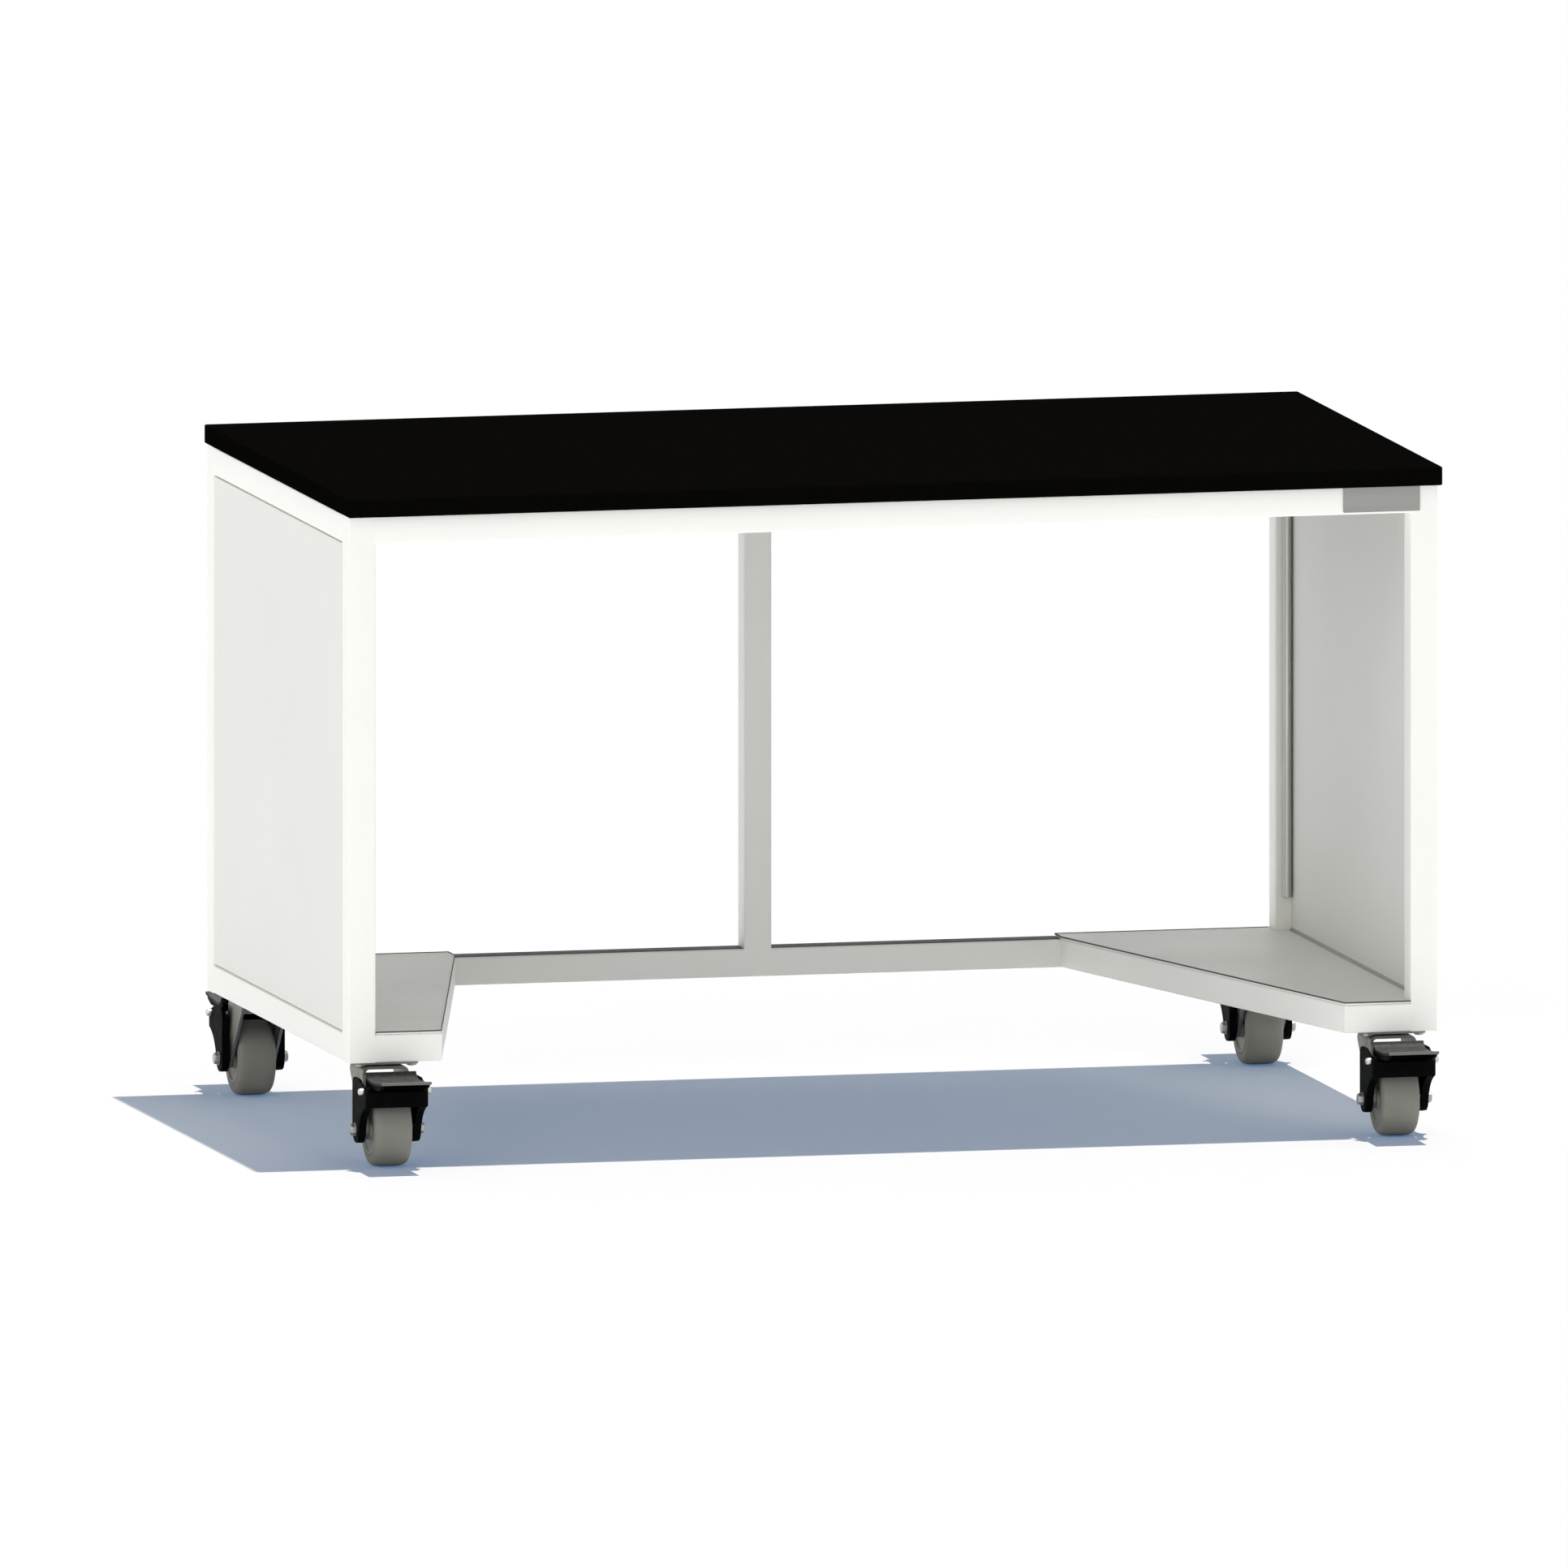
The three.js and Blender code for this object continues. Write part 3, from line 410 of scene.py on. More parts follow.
# %% [markdown]
# ## The welded frame
# The frame is square steel tube, rolled from strip, so its corners are round outside and in. A curve with
# a square bevel makes tubes too, but only with square ends, and the feet are mitred. Here the ring of a
# rounded square runs out along the tube, turns in over the cut end and comes back along the inside. A
# slanted cut slides each point of the ring along the tube until it meets the cut's plane. The welds are
# ground flush, so each rail runs on into the round edge of its post.

# %% Tubes
TUBE_CORNER = 2.5 * MM
TUBE_WALL = 2.0 * MM
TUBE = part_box("rail_top_front")[1].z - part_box("rail_top_front")[0].z


def tube(start, end, start_cut=None, end_cut=None):
    """A hollow square tube between two points on its middle line. A ring point q is moved along the tube by
    -(q . n) / (a . n), where a is the tube's direction and n the normal of the cut."""
    start, end = np.asarray(start, dtype=float), np.asarray(end, dtype=float)
    along = (end - start) / np.linalg.norm(end - start)
    rise = np.array([0.0, 0.0, 1.0]) if abs(along[2]) < 0.5 else np.array([0.0, 1.0, 0.0])
    side = np.cross(rise, along)
    first, last = (along if cut is None else np.asarray(cut, dtype=float) for cut in (start_cut, end_cut))
    rings = []
    for inset, point, cut in ((0.0, start, first), (0.0, end, last), (TUBE_WALL, end, last),
                              (TUBE_WALL, start, first)):
        square = rounded_square(TUBE - 2 * inset, TUBE - 2 * inset, TUBE_CORNER - inset)
        ring = square[:, :1] * side + square[:, 1:] * rise
        slide = -(ring @ cut) / (along @ cut)
        rings.append(point + ring + slide[:, None] * along)
    return skin(rings, closed=True)


def straight_tube(node, reach):
    """The tube that stands for a straight CAD node, lengthened by `reach` at both ends into its
    neighbours."""
    low, high = (np.array(corner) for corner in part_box(node))
    axis = int(np.argmax(high - low))
    middle = (low + high) / 2
    start, end = middle.copy(), middle.copy()
    start[axis], end[axis] = low[axis] - reach, high[axis] + reach
    return tube(start, end)


PLACES = [f"{end}_{side}" for end in ("front", "rear") for side in ("left", "right")]
corner_posts = [f"post_{place}" for place in PLACES]
rails = [f"rail_top_{place}" for place in ("front", "rear", "left", "right", "centre")]
rails += [f"rail_bottom_{place}" for place in ("rear", "left", "right")]
for name in corner_posts + rails + ["post_rear_centre"]:
    reach = 0.0 if name in corner_posts else TUBE_CORNER
    piece(f"{name}_tube", [straight_tube(name, reach)], powder_coat, "bench_frame", "frame_paint", [name])
print(len(corner_posts + rails) + 1, "straight tubes of", round(TUBE / MM, 1), "mm")

# %% [markdown]
# ## The two feet
# In front each foot is short, and a slanted rail runs from its end back to the rear rail, so that knees
# and a stool fit under the top. The toe rail and the slanted rail meet in a mitre. A boolean could cut it,
# but the tube function takes the plane of a cut as it is: this one goes through the outer corner and
# through the point where the two inner faces cross.

# %% Feet
SIDES = (("left", -1), ("right", 1))
front_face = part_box("rail_top_front")[0].y
rear_low, rear_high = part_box("rail_bottom_rear")
rear_face = rear_low.y
rail_middle = (rear_low.z + rear_high.z) / 2


def inner_face(node, sign):
    """The x of the face of a node on one side of the bench that looks to the middle of the bench."""
    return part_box(node)[0 if sign > 0 else 1].x


def slid_to(point, along, y):
    """A point in plan, moved along a direction until it reaches that y."""
    return point + along * (y - point[1]) / along[1]


foot_plan = {}
for side, sign in SIDES:
    outer = np.array([inner_face(f"toe_rail_{side}", sign), front_face])
    rear = np.array([inner_face(f"slant_rail_{side}", sign), rear_face])
    along = (rear - outer) / np.linalg.norm(rear - outer)
    inward = np.array([along[1], -along[0]]) * sign
    inner = slid_to(outer + inward * TUBE, along, front_face + TUBE)
    cut = np.array([inner[1] - outer[1], outer[0] - inner[0], 0.0])
    mitre = [*(outer + inner) / 2, rail_middle]
    rear_end = slid_to(outer + inward * TUBE / 2, along, rear_face + TUBE_CORNER)
    post_face = inner_face(f"post_front_{side}", sign) + sign * TUBE_CORNER
    toe = tube([post_face, front_face + TUBE / 2, rail_middle], mitre, end_cut=cut)
    slant = tube(mitre, [*rear_end, rail_middle], start_cut=cut, end_cut=[0.0, 1.0, 0.0])
    for name, rail in ((f"toe_rail_{side}", toe), (f"slant_rail_{side}", slant)):
        piece(f"{name}_tube", [rail], powder_coat, "bench_frame", "frame_paint", [name])
    foot_plan[side] = (outer, along, inward)
print("feet slant by", round(math.degrees(math.atan2(abs(along[0]), along[1])), 1), "degrees")

# %% [markdown]
# ## Sheets, plates and the conduit
# Side panels, caster plates and mounts, and the bare plate on the front rail are flat stock. They could be
# made again here, but the CAD model already has them exactly, so they keep their shape and take a finish.
# The conduit is drawn tube. Its CAD facets would show, so it is turned again with enough steps to look
# round.

# %% Flat stock
flat_stock = {"side_panel_": laminate, "caster_mount_": powder_coat, "badge_plate": brushed,
              "caster_plate_": zinc}
for start, material in flat_stock.items():
    for name, node in nodes.items():
        if name.startswith(start):
            node.data.materials.clear()
            node.data.materials.append(material)
print("finishes for", len(flat_stock), "kinds of flat stock")

# %% Conduit
CONDUIT_EASE = 0.8 * MM
CONDUIT_LIFT = 12.0 * MM
low, high = (np.array(corner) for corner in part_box("cable_conduit"))
radius = (high[0] - low[0]) / 2
foot = low[2] + CONDUIT_LIFT
profile = [(foot, radius - CONDUIT_EASE), (foot + CONDUIT_EASE, radius),
           (high[2] - CONDUIT_EASE, radius), (high[2], radius - CONDUIT_EASE)]
turned = lathe(profile, (0.0, 0.0), steps=40)
standing = turned[:, :, [1, 2, 0]] + [(low[0] + high[0]) / 2, (low[1] + high[1]) / 2, 0.0]
piece("cable_conduit_tube", [skin(standing)], drawn_tube, "bench_frame", "satin_aluminium",
      ["cable_conduit"])
print("conduit", round(2 * radius / MM, 1), "mm thick")

# %% [markdown]
# ## Shelf plates and painted shade at their edges
# Each foot carries a shelf plate that lies on its rails, cut out round the posts and short of the side
# panel. Its outline is a polygon with nine corners, and its edges are eased like the worktop's. A dark
# line of shade runs along the plate's open edges, and it is painted as a thin dark strip. A material could
# paint it on, but a strip stands proud: it is the first five corners of the same outline, moved out a
# little. The shade in the joint to the side panel is softer and paler, and is painted in grey on a hollow
# quarter circle between plate and panel.

# %% Outlines in plan
def moved_out(outline, distance):
    """An outline in plan, anticlockwise, with each corner moved along its mitre. The mitre is the sum of the
    two edge normals over one plus their product."""
    edges = np.roll(outline, -1, axis=0) - outline
    normals = np.stack([edges[:, 1], -edges[:, 0]], axis=1) / np.linalg.norm(edges, axis=1)[:, None]
    before = np.roll(normals, 1, axis=0)
    return outline + distance * (normals + before) / (1 + np.sum(normals * before, axis=1))[:, None]


def stacked(outline, steps):
    """The rings of an outline moved out and lifted by each (distance, height) in turn."""
    return [lifted(moved_out(outline, distance), height) for distance, height in steps]


unit_square = np.array([[0, 0], [1, 0], [1, 1], [0, 1]])
print("a unit square moved out by one is", np.ptp(moved_out(unit_square, 1)), "wide")

# %% Shelf plates
SEAM = 0.8 * MM
SHELF_EASE = 0.5 * MM
SHADE_LINE_WIDTH = 0.7 * MM
SHADE_LINE_RISE = 0.9 * MM
OPEN_CORNERS = 5
COVE = 4.0 * MM
bow = np.linspace(0, math.pi / 2, 9)
notch = front_face + TUBE + SEAM
for side, sign in SIDES:
    low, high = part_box(f"corner_shelf_{side}")
    outer, along, inward = foot_plan[side]
    panel = inner_face(f"side_panel_{side}", sign) - sign * SEAM
    post = inner_face(f"post_front_{side}", sign) - sign * SEAM
    seam = outer + inward * SEAM
    toe_corner = slid_to(seam, along, low.y)
    turn_corner = slid_to(seam, along, rear_face)
    outline = np.array([[post, low.y], toe_corner, turn_corner, [turn_corner[0], high.y], [post, high.y],
                        [post, -notch], [panel, -notch], [panel, notch], [post, notch]])[::-sign]
    plate = stacked(outline, [(-SHELF_EASE, low.z), (0, low.z + SHELF_EASE), (0, high.z - SHELF_EASE),
                              (-SHELF_EASE, high.z)])
    # Painted shade: a thin dark strip along the plate's open edges.
    lines = stacked(outline, [(-SHELF_EASE, high.z - SHADE_LINE_RISE), (SHADE_LINE_WIDTH, high.z - SHADE_LINE_RISE),
                              (SHADE_LINE_WIDTH, high.z + SHADE_LINE_RISE), (-SHELF_EASE, high.z + SHADE_LINE_RISE)])
    shade_line = np.array(lines)[:, ::-sign][:, :OPEN_CORNERS].swapaxes(0, 1)
    # Painted shade: a grey hollow cove in the joint between plate and panel.
    cove_x = np.append(panel + sign * (SEAM - COVE * (1 - np.sin(bow))), panel + sign * SEAM)
    cove_z = np.append(high.z + COVE * (1 - np.cos(bow)), high.z)
    cove = [np.column_stack([cove_x, np.full(len(cove_x), y), cove_z]) for y in (notch, -notch)]
    piece(f"corner_shelf_{side}_plate", [skin(plate)], powder_coat, "bench_frame", "frame_paint",
          [f"corner_shelf_{side}"])
    piece(f"shelf_shade_line_{side}", [skin(shade_line)], painted_shade_strip, "bench_frame", "black_plastic")
    piece(f"shelf_joint_{side}", [skin(cove)], painted_joint_shade, "bench_frame", "frame_paint")
print("shelves end", round(SEAM / MM, 1), "mm short of posts and panels")

# %% [markdown]
# Between the shelves the top of the rear rail lies in shade as well, and that shade is painted. Two thin
# slabs in the same dark finish as the shelf strips lie on the rail, one on each side of the middle post.

# %% Painted shade on the rear rail
SHADE_STRIP_INSET = 3.0 * MM
SHADE_STRIP_RISE = 0.8 * MM
SHADE_STRIP_CORNER = 2.0 * MM
SHADE_STRIP_EASE = 0.3 * MM
inside = min(abs(inner_face(f"slant_rail_{side}", sign)) for side, sign in SIDES)
# Painted shade: two thin dark slabs on top of the rear rail.
strips = [slab((start, rear_low.y + SHADE_STRIP_INSET, rear_high.z),
               (end, rear_high.y - SHADE_STRIP_INSET, rear_high.z + SHADE_STRIP_RISE), SHADE_STRIP_CORNER, SHADE_STRIP_EASE)
          for start, end in ((-inside, -TUBE / 2), (TUBE / 2, inside))]
piece("rear_rail_seal", strips, painted_shade_strip, "bench_frame", "black_plastic")
print("strips", round(inside, 3), "m long beside the middle post")

# %% [markdown]
# ## Four casters
# The casters are all alike. Linked copies would share one mesh, but each piece here has its place in its
# own mesh, so that its patterns stay with it. So each piece is drawn once about a swivel axis, with the
# wheel trailing to the front, and its points are moved to the four corners.

# %% Caster places
swivel = joint_at["swivel_turn_front_left"]


def about_swivel(joint):
    """The (y, z) of a joint of the front left caster, with y measured from its swivel axis."""
    return joint_at[joint][1] - swivel[1], joint_at[joint][2]


def placed(surface, place):
    """A surface drawn about a swivel axis, moved to one corner of the bench. Rear casters trail the other
    way, which is half a turn."""
    points, faces = surface
    turn = 1.0 if place.startswith("front") else -1.0
    pivot = joint_at[f"swivel_turn_{place}"]
    return points * [turn, turn, 1.0] + [pivot[0], pivot[1], 0.0], faces


def on_casters(node, kind, surfaces, material, body, slot, **finishing):
    """The same piece on all four casters, each standing for its own CAD node."""
    for place in PLACES:
        piece(f"{node}_{place}_{kind}", [placed(surface, place) for surface in surfaces], material,
              f"{body}_{place}", slot, [f"{node}_{place}"], **finishing)


def mirrored(half, sign):
    """A row of values, and then the same row backwards times the sign: the other half of a symmetrical
    piece."""
    return np.concatenate([half, half[::-1] * sign])


axle_at = about_swivel("wheel_spin_front_left")
pin_at = about_swivel("brake_press_front_left")
print("each wheel trails by", round(-axle_at[0] / MM, 1), "mm")

# %% [markdown]
# ## Wheels
# The tyre is moulded over the hub. Its tread is nearly flat across the middle and rolls over into round
# shoulders. A torus is too round for that, but a superellipse does it: the width follows a power of the
# cosine and the radius a power of the sine. Below the shoulder a shallow groove parts the tyre from the
# raised ring of the hub.

# %% Tyres
SEAT_RADIUS = 34.8 * MM
SHOULDER_RADIUS = 39.0 * MM
WIDTH_POWER, RADIUS_POWER = 0.5, 0.6
GROOVE_RADIUS = 36.6 * MM
GROOVE_WIDTH = 0.9 * MM
GROOVE_DEPTH = 0.9 * MM
low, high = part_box("tyre_front_left")
TYRE_HALF = (high.x - low.x) / 2
TYRE_RADIUS = axle_at[1]
turn = np.linspace(0, math.pi, 49)
tread_x = TYRE_HALF * np.sign(np.cos(turn)) * np.abs(np.cos(turn)) ** WIDTH_POWER
tread_r = SHOULDER_RADIUS + (TYRE_RADIUS - SHOULDER_RADIUS) * np.sin(turn) ** RADIUS_POWER
side_r = np.linspace(SEAT_RADIUS, SHOULDER_RADIUS, 14)[:-1]
side_x = TYRE_HALF - GROOVE_DEPTH * np.exp(-((side_r - GROOVE_RADIUS) / GROOVE_WIDTH) ** 2)
tyre_profile = np.column_stack([np.concatenate([side_x, tread_x, -side_x[::-1]]),
                                np.concatenate([side_r, tread_r, side_r[::-1]])])
tyre = skin(lathe(tyre_profile, axle_at, steps=112), closed=True)
on_casters("tyre", "moulding", [tyre], tread, "wheel", "grey_tread")
print("wheels", round(2 * TYRE_RADIUS / MM, 1), "mm across and", round(2 * TYRE_HALF / MM, 1), "mm wide")

# %% [markdown]
# The hub is a moulding too: a boss on the axle, a web that is set back, and a raised ring where the tyre
# sits. Stacked discs would meet in sharp steps, so one profile with small fillets is turned. Half of it is
# drawn from the bore outwards and mirrored.

# %% Hubs
WEB_HALF = 23.0 * MM
FILLET = 0.6 * MM
RING_RISE = 0.3 * MM
RING_EASE = 0.1 * MM
# Radii in millimetres, from the axle outwards
BORE, BOSS, BOSS_FOOT, WEB_START, WEB_END = 5.3, 13.0, 13.8, 15.5, 29.4
RING_FOOT, RING_INNER, RING_CREST, RING_OUTER, RING_SEAT = 30.6, 31.2, 32.8, 34.4, 34.75
low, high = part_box("wheel_hub_front_left")
boss_half = (high.x - low.x) / 2
half_hub = np.array([(boss_half, BORE), (boss_half, BOSS), (WEB_HALF + FILLET, BOSS_FOOT),
                     (WEB_HALF, WEB_START), (WEB_HALF, WEB_END), (WEB_HALF + FILLET, RING_FOOT),
                     (TYRE_HALF + RING_EASE, RING_INNER), (TYRE_HALF + RING_RISE, RING_CREST),
                     (TYRE_HALF + RING_EASE, RING_OUTER), (TYRE_HALF - FILLET, RING_SEAT)]) * [1.0, MM]
hub = skin(lathe(mirrored(half_hub, [-1.0, 1.0]), axle_at, steps=72), closed=True)
on_casters("wheel_hub", "moulding", [hub], hub_plastic, "wheel", "hub_plastic", edge=0.4 * MM)
print("hubs", round(2 * boss_half / MM, 1), "mm over the bosses")

# %% [markdown]
# ## Forks
# A fork is one strip of steel plate, bent twice in a press: up one leg, over the crown and down the other.
# It could be cut from a block, but a bent sheet keeps the same thickness round the bends, as the real one
# does. The path of its middle layer is a U with round bends. The strip is widest at the crown, runs in a
# straight taper down each leg, and ends in a round ear about the axle.

# %% Fork edges
STEEL = 4.0 * MM
BEND = 7.0 * MM
EAR = 14.0 * MM
SHOULDER = 8.0 * MM
CROWN_FRONT = 43.0 * MM
low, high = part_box("caster_fork_front_left")
leg_x = (high.x - low.x) / 2 - STEEL / 2
crown_z = high.z - STEEL / 2
crown_edges = {-1: -CROWN_FRONT, 1: high.y - swivel[1]}
shoulder_z = crown_z - STEEL / 2 - SHOULDER


def tangent_point(corner, centre, radius, hand):
    """Where a line from a corner touches a circle: the radius that makes acos(radius / distance) with the
    line from the centre to the corner, on one hand or the other."""
    reach = np.subtract(corner, centre)
    bearing = math.atan2(reach[1], reach[0]) + hand * math.acos(radius / math.hypot(*reach))
    return centre[0] + radius * math.cos(bearing), centre[1] + radius * math.sin(bearing)


def leg_edge(height, hand):
    """The y of a leg's front or rear edge at each height: straight from the crown to the ear, then round
    it."""
    touch = tangent_point((crown_edges[hand], shoulder_z), axle_at, EAR, -hand)
    straight = np.interp(height, [touch[1], shoulder_z], [touch[0], crown_edges[hand]])
    below = np.clip(EAR ** 2 - (height - axle_at[1]) ** 2, 0.0, None)
    return np.where(height < touch[1], axle_at[0] + hand * np.sqrt(below), straight)


print("fork legs", round(2 * leg_x / MM, 1), "mm apart")

# %% [markdown]
# The strip is a grid: its stations follow the U and its columns go from the rear edge to the front edge. A
# pressed rib stiffens each leg and fades out at the ear and at the bend. Thickness comes last.

# %% Forks
RIB_RISE = 1.0 * MM
RIB_WIDTH = 0.13
ear = axle_at[1] - EAR * np.cos(np.linspace(0, math.pi / 2, 14))
leg = np.concatenate([ear, np.linspace(axle_at[1], crown_z - BEND, 30)[1:]])
bend = np.linspace(0, math.pi / 2, 9)[1:]
strip_z = mirrored(np.concatenate([leg, crown_z - BEND + BEND * np.sin(bend)]), 1)
strip_x = mirrored(np.concatenate([np.full(len(leg), -leg_x), -leg_x + BEND * (1 - np.cos(bend))]), -1)
across = np.linspace(0, 1, 21)
rear_edge, front_edge = leg_edge(strip_z, 1)[:, None], leg_edge(strip_z, -1)[:, None]
strip_y = rear_edge + (front_edge - rear_edge) * across
above_ear = np.clip((strip_z - axle_at[1] - EAR) / SHOULDER, 0, 1)
below_bend = np.clip((crown_z - BEND - strip_z) / SHOULDER, 0, 1)
outward = np.sign(strip_x) * above_ear * below_bend
rib = RIB_RISE * np.exp(-((across - 0.5) / RIB_WIDTH) ** 2)
fork = sheet(np.stack([strip_x[:, None] + outward[:, None] * rib, strip_y,
                       np.repeat(strip_z[:, None], len(across), axis=1)], axis=-1))
on_casters("caster_fork", "pressing", [fork], zinc, "swivel", "zinc_plate", wall=STEEL, edge=0.7 * MM)
print("fork strips", len(strip_z), "stations long")

# %% [markdown]
# ## Brake covers
# A black hood wraps the front and both sides of each wheel. It is moulded with an even wall, so it is a
# sheet that gets its thickness last, which is simpler than hollowing out a block. One direction of the
# sheet follows a U in plan with round corners, the other goes from the lower edge to the upper edge. Both
# edges depend on how far ahead of the axle the wall has come. The lower one is a round ear about the axle,
# then a sweep up to the skirt. The upper one slopes down to the nose.

# %% Cover edges
COVER_WALL = 3.0 * MM
COVER_CORNER = 7.0 * MM
COVER_EAR = 17.0 * MM
REAR_CORNER = 12.0 * MM
CREST_AHEAD = 20.0 * MM
THROAT_AHEAD = 25.5 * MM
CHIN_AHEAD = 55.0 * MM
NOSE_FALL = 14.0 * MM
SKIRT_FALL = 34.0 * MM
THROAT_FALL = 44.0 * MM
low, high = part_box("brake_cover_front_left")
cover_half = (high.x - low.x - COVER_WALL) / 2
cover_ahead = axle_at[0] + swivel[1] - low.y - COVER_WALL / 2
cover_top = high.z
cover_nose = cover_top - NOSE_FALL


def upper_edge(ahead):
    """Level on top, a quarter circle down at the back, and a straight slope from the crest to the nose."""
    behind = np.clip(-ahead - (COVER_EAR - REAR_CORNER), 0.0, REAR_CORNER)
    rounded = cover_top - REAR_CORNER + np.sqrt(REAR_CORNER ** 2 - behind ** 2)
    slope = np.interp(ahead, [CREST_AHEAD, cover_ahead], [cover_top, cover_nose])
    return np.where(ahead < CREST_AHEAD, rounded, slope)


def lower_edge(ahead):
    """Half a circle about the axle, then a quadratic curve that is drawn towards the throat and ends at the
    skirt."""
    t = np.linspace(0, 1, 60)
    start, pull, end = (1 - t) ** 2, 2 * t * (1 - t), t ** 2
    curve_ahead = start * COVER_EAR + pull * THROAT_AHEAD + end * CHIN_AHEAD
    curve_z = start * axle_at[1] + pull * (cover_top - THROAT_FALL) + end * (cover_top - SKIRT_FALL)
    round_ear = axle_at[1] - np.sqrt(np.clip(COVER_EAR ** 2 - ahead ** 2, 0.0, None))
    return np.where(ahead <= COVER_EAR, round_ear, np.interp(ahead, curve_ahead, curve_z))


print("covers reach", round(cover_ahead / MM, 1), "mm ahead of the axle")

# %% [markdown]
# The U is sampled more closely round the ear and the corners than along the straight cheeks. Along its
# lower and rear edges the wall turns inwards into a stiffening rim that nearly meets the fork: more
# columns of the same grid for the lower edge, and two narrow sheets for the rear edges.

# %% Brake covers
COVER_RIM = 9.0 * MM
bend_radius = COVER_CORNER - COVER_WALL / 2
turn = np.linspace(0, math.pi / 2, 13)[1:]
ear_ahead = -COVER_EAR * np.cos(np.linspace(0, math.pi, 31))
sweep_ahead = COVER_EAR + (cover_ahead - bend_radius - COVER_EAR) * np.linspace(0, 1, 31)[1:] ** 2
cheek_ahead = np.concatenate([ear_ahead, sweep_ahead])
cheek_count = len(cheek_ahead)
half_ahead = np.concatenate([cheek_ahead, cover_ahead - bend_radius * (1 - np.sin(turn))])
half_out = np.concatenate([np.full(cheek_count, -cover_half),
                           -cover_half + bend_radius * (1 - np.cos(turn))])
wall_ahead = mirrored(half_ahead, 1)[:, None]
wall_out = mirrored(half_out, -1)[:, None]
rim_in = mirrored(np.concatenate([np.ones(cheek_count), np.cos(turn)]), -1)[:, None]
rim_back = mirrored(np.concatenate([np.zeros(cheek_count), np.sin(turn)]), 1)[:, None]
climb = np.linspace(0, 1, 15)
turned_in = np.linspace(1, 0, 4)[:-1] * COVER_RIM
lower, upper = lower_edge(wall_ahead), upper_edge(wall_ahead)
rim = np.stack([wall_out + rim_in * turned_in, axle_at[0] - wall_ahead + rim_back * turned_in,
                lower + 0 * turned_in], axis=-1)
hood = np.stack([wall_out + 0 * climb, axle_at[0] - wall_ahead + 0 * climb, lower + (upper - lower) * climb],
                axis=-1)
tucked = np.append(turned_in, 0.0)[:, None, None] * [1.0, 0.0, 0.0]
cover = [sheet(np.concatenate([rim, hood], axis=1)), sheet(hood[0] + tucked), sheet(hood[-1] - tucked)]
on_casters("brake_cover", "moulding", cover, nylon, "swivel", "black_plastic", wall=COVER_WALL,
           edge=0.8 * MM)
print("covers", round((2 * cover_half + COVER_WALL) / MM, 1), "mm wide")

# %% [markdown]
# ## Brake pedals
# The pedal is a long scoop for the toe of a shoe: a steep heel, a dip and a slow rise to the lip. A few
# points and a subdivision could suggest that, but two formulas give it exactly: an exponential that fades
# out for the heel, and a parabola for the rise.

# %% Pedal tread
PEDAL_WALL = 4.0 * MM
DIP_AHEAD = 18.0 * MM
DIP_FALL = 10.6 * MM
LIP_FALL = 4.7 * MM
LIP_PLAY = 0.5 * MM
HEEL_CURVE = 5.5 * MM
HEEL_CROWDING = 1.5
low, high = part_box("brake_pedal_front_left")
pedal_half = (high.x - low.x) / 2
heel_ahead = axle_at[0] + swivel[1] - high.y
lip_ahead = axle_at[0] + swivel[1] - low.y
dip_ahead = heel_ahead + DIP_AHEAD
heel_z = high.z


def tread_height(ahead):
    """The fall from the heel fades as exp(-distance / curve), and past the dip a parabola lifts the tread to
    the lip."""
    fall = DIP_FALL * np.exp((heel_ahead - ahead) / HEEL_CURVE)
    rise = (DIP_FALL - LIP_FALL) * (np.clip(ahead - dip_ahead, 0.0, None) / (lip_ahead - dip_ahead)) ** 2
    return heel_z - DIP_FALL + fall + rise


ahead = heel_ahead + (lip_ahead - LIP_PLAY - heel_ahead) * np.linspace(0, 1, 40)[:, None] ** HEEL_CROWDING
across = np.linspace(-pedal_half, pedal_half, 25)
pedal_tread = sheet(np.stack([across + 0 * ahead, axle_at[0] - ahead + 0 * across,
                              tread_height(ahead) - PEDAL_WALL / 2 + 0 * across], axis=-1))
on_casters("brake_pedal", "tread", [pedal_tread], sunlit_nylon, "pedal", "black_plastic", wall=PEDAL_WALL,
           edge=1.2 * MM)
print("treads", round((lip_ahead - heel_ahead) / MM, 1), "by", round(2 * pedal_half / MM, 1), "mm")

# %% [markdown]
# Two side walls carry the tread on the pivot pin. They start at the heel, where a guard closes the view to
# the fork, follow the tread from below and run out to nothing at the lip. A box cut along the tread would
# do as well, but one outline takes its upper edge straight from the tread's formula. It is drawn flat and
# given its thickness. A boss on each wall takes up the room to the cover.

# %% Pedal walls
WALL_INSET = 1.0 * MM
WALL_THICKNESS = 4.5 * MM
LIP_TAPER = 1.5 * MM
WALL_FRONT = 88.0 * MM
NOSE_GAP = 5.0 * MM
BEAK_AHEAD, BEAK_FALL = 104.0 * MM, 4.0 * MM
KNUCKLE, KNUCKLE_SPAN = 7.5 * MM, (200, 360)
HEEL_GUARD = 4.5 * MM
GUARD_FALL = 8.0 * MM
PIN_BOSS, PIN_BORE, PIN_BOSS_END = 6.5 * MM, 3.9 * MM, 40.4 * MM
pin_ahead = axle_at[0] - pin_at[0]
pin_z = pin_at[1]
wall_outer = pedal_half - WALL_INSET
wall_inner = wall_outer - WALL_THICKNESS
wall_low = cover_nose + NOSE_GAP
wall_back = heel_ahead + WALL_INSET
guard = wall_back - HEEL_GUARD


def cheek(outline, inner, outer):
    """A flat piece with its outline in (ahead, z), standing between two distances from the middle."""
    ring = np.asarray(outline, dtype=float)
    return skin([np.column_stack([np.full(len(ring), x), axle_at[0] - ring[:, 0], ring[:, 1]])
                 for x in (inner, outer)])


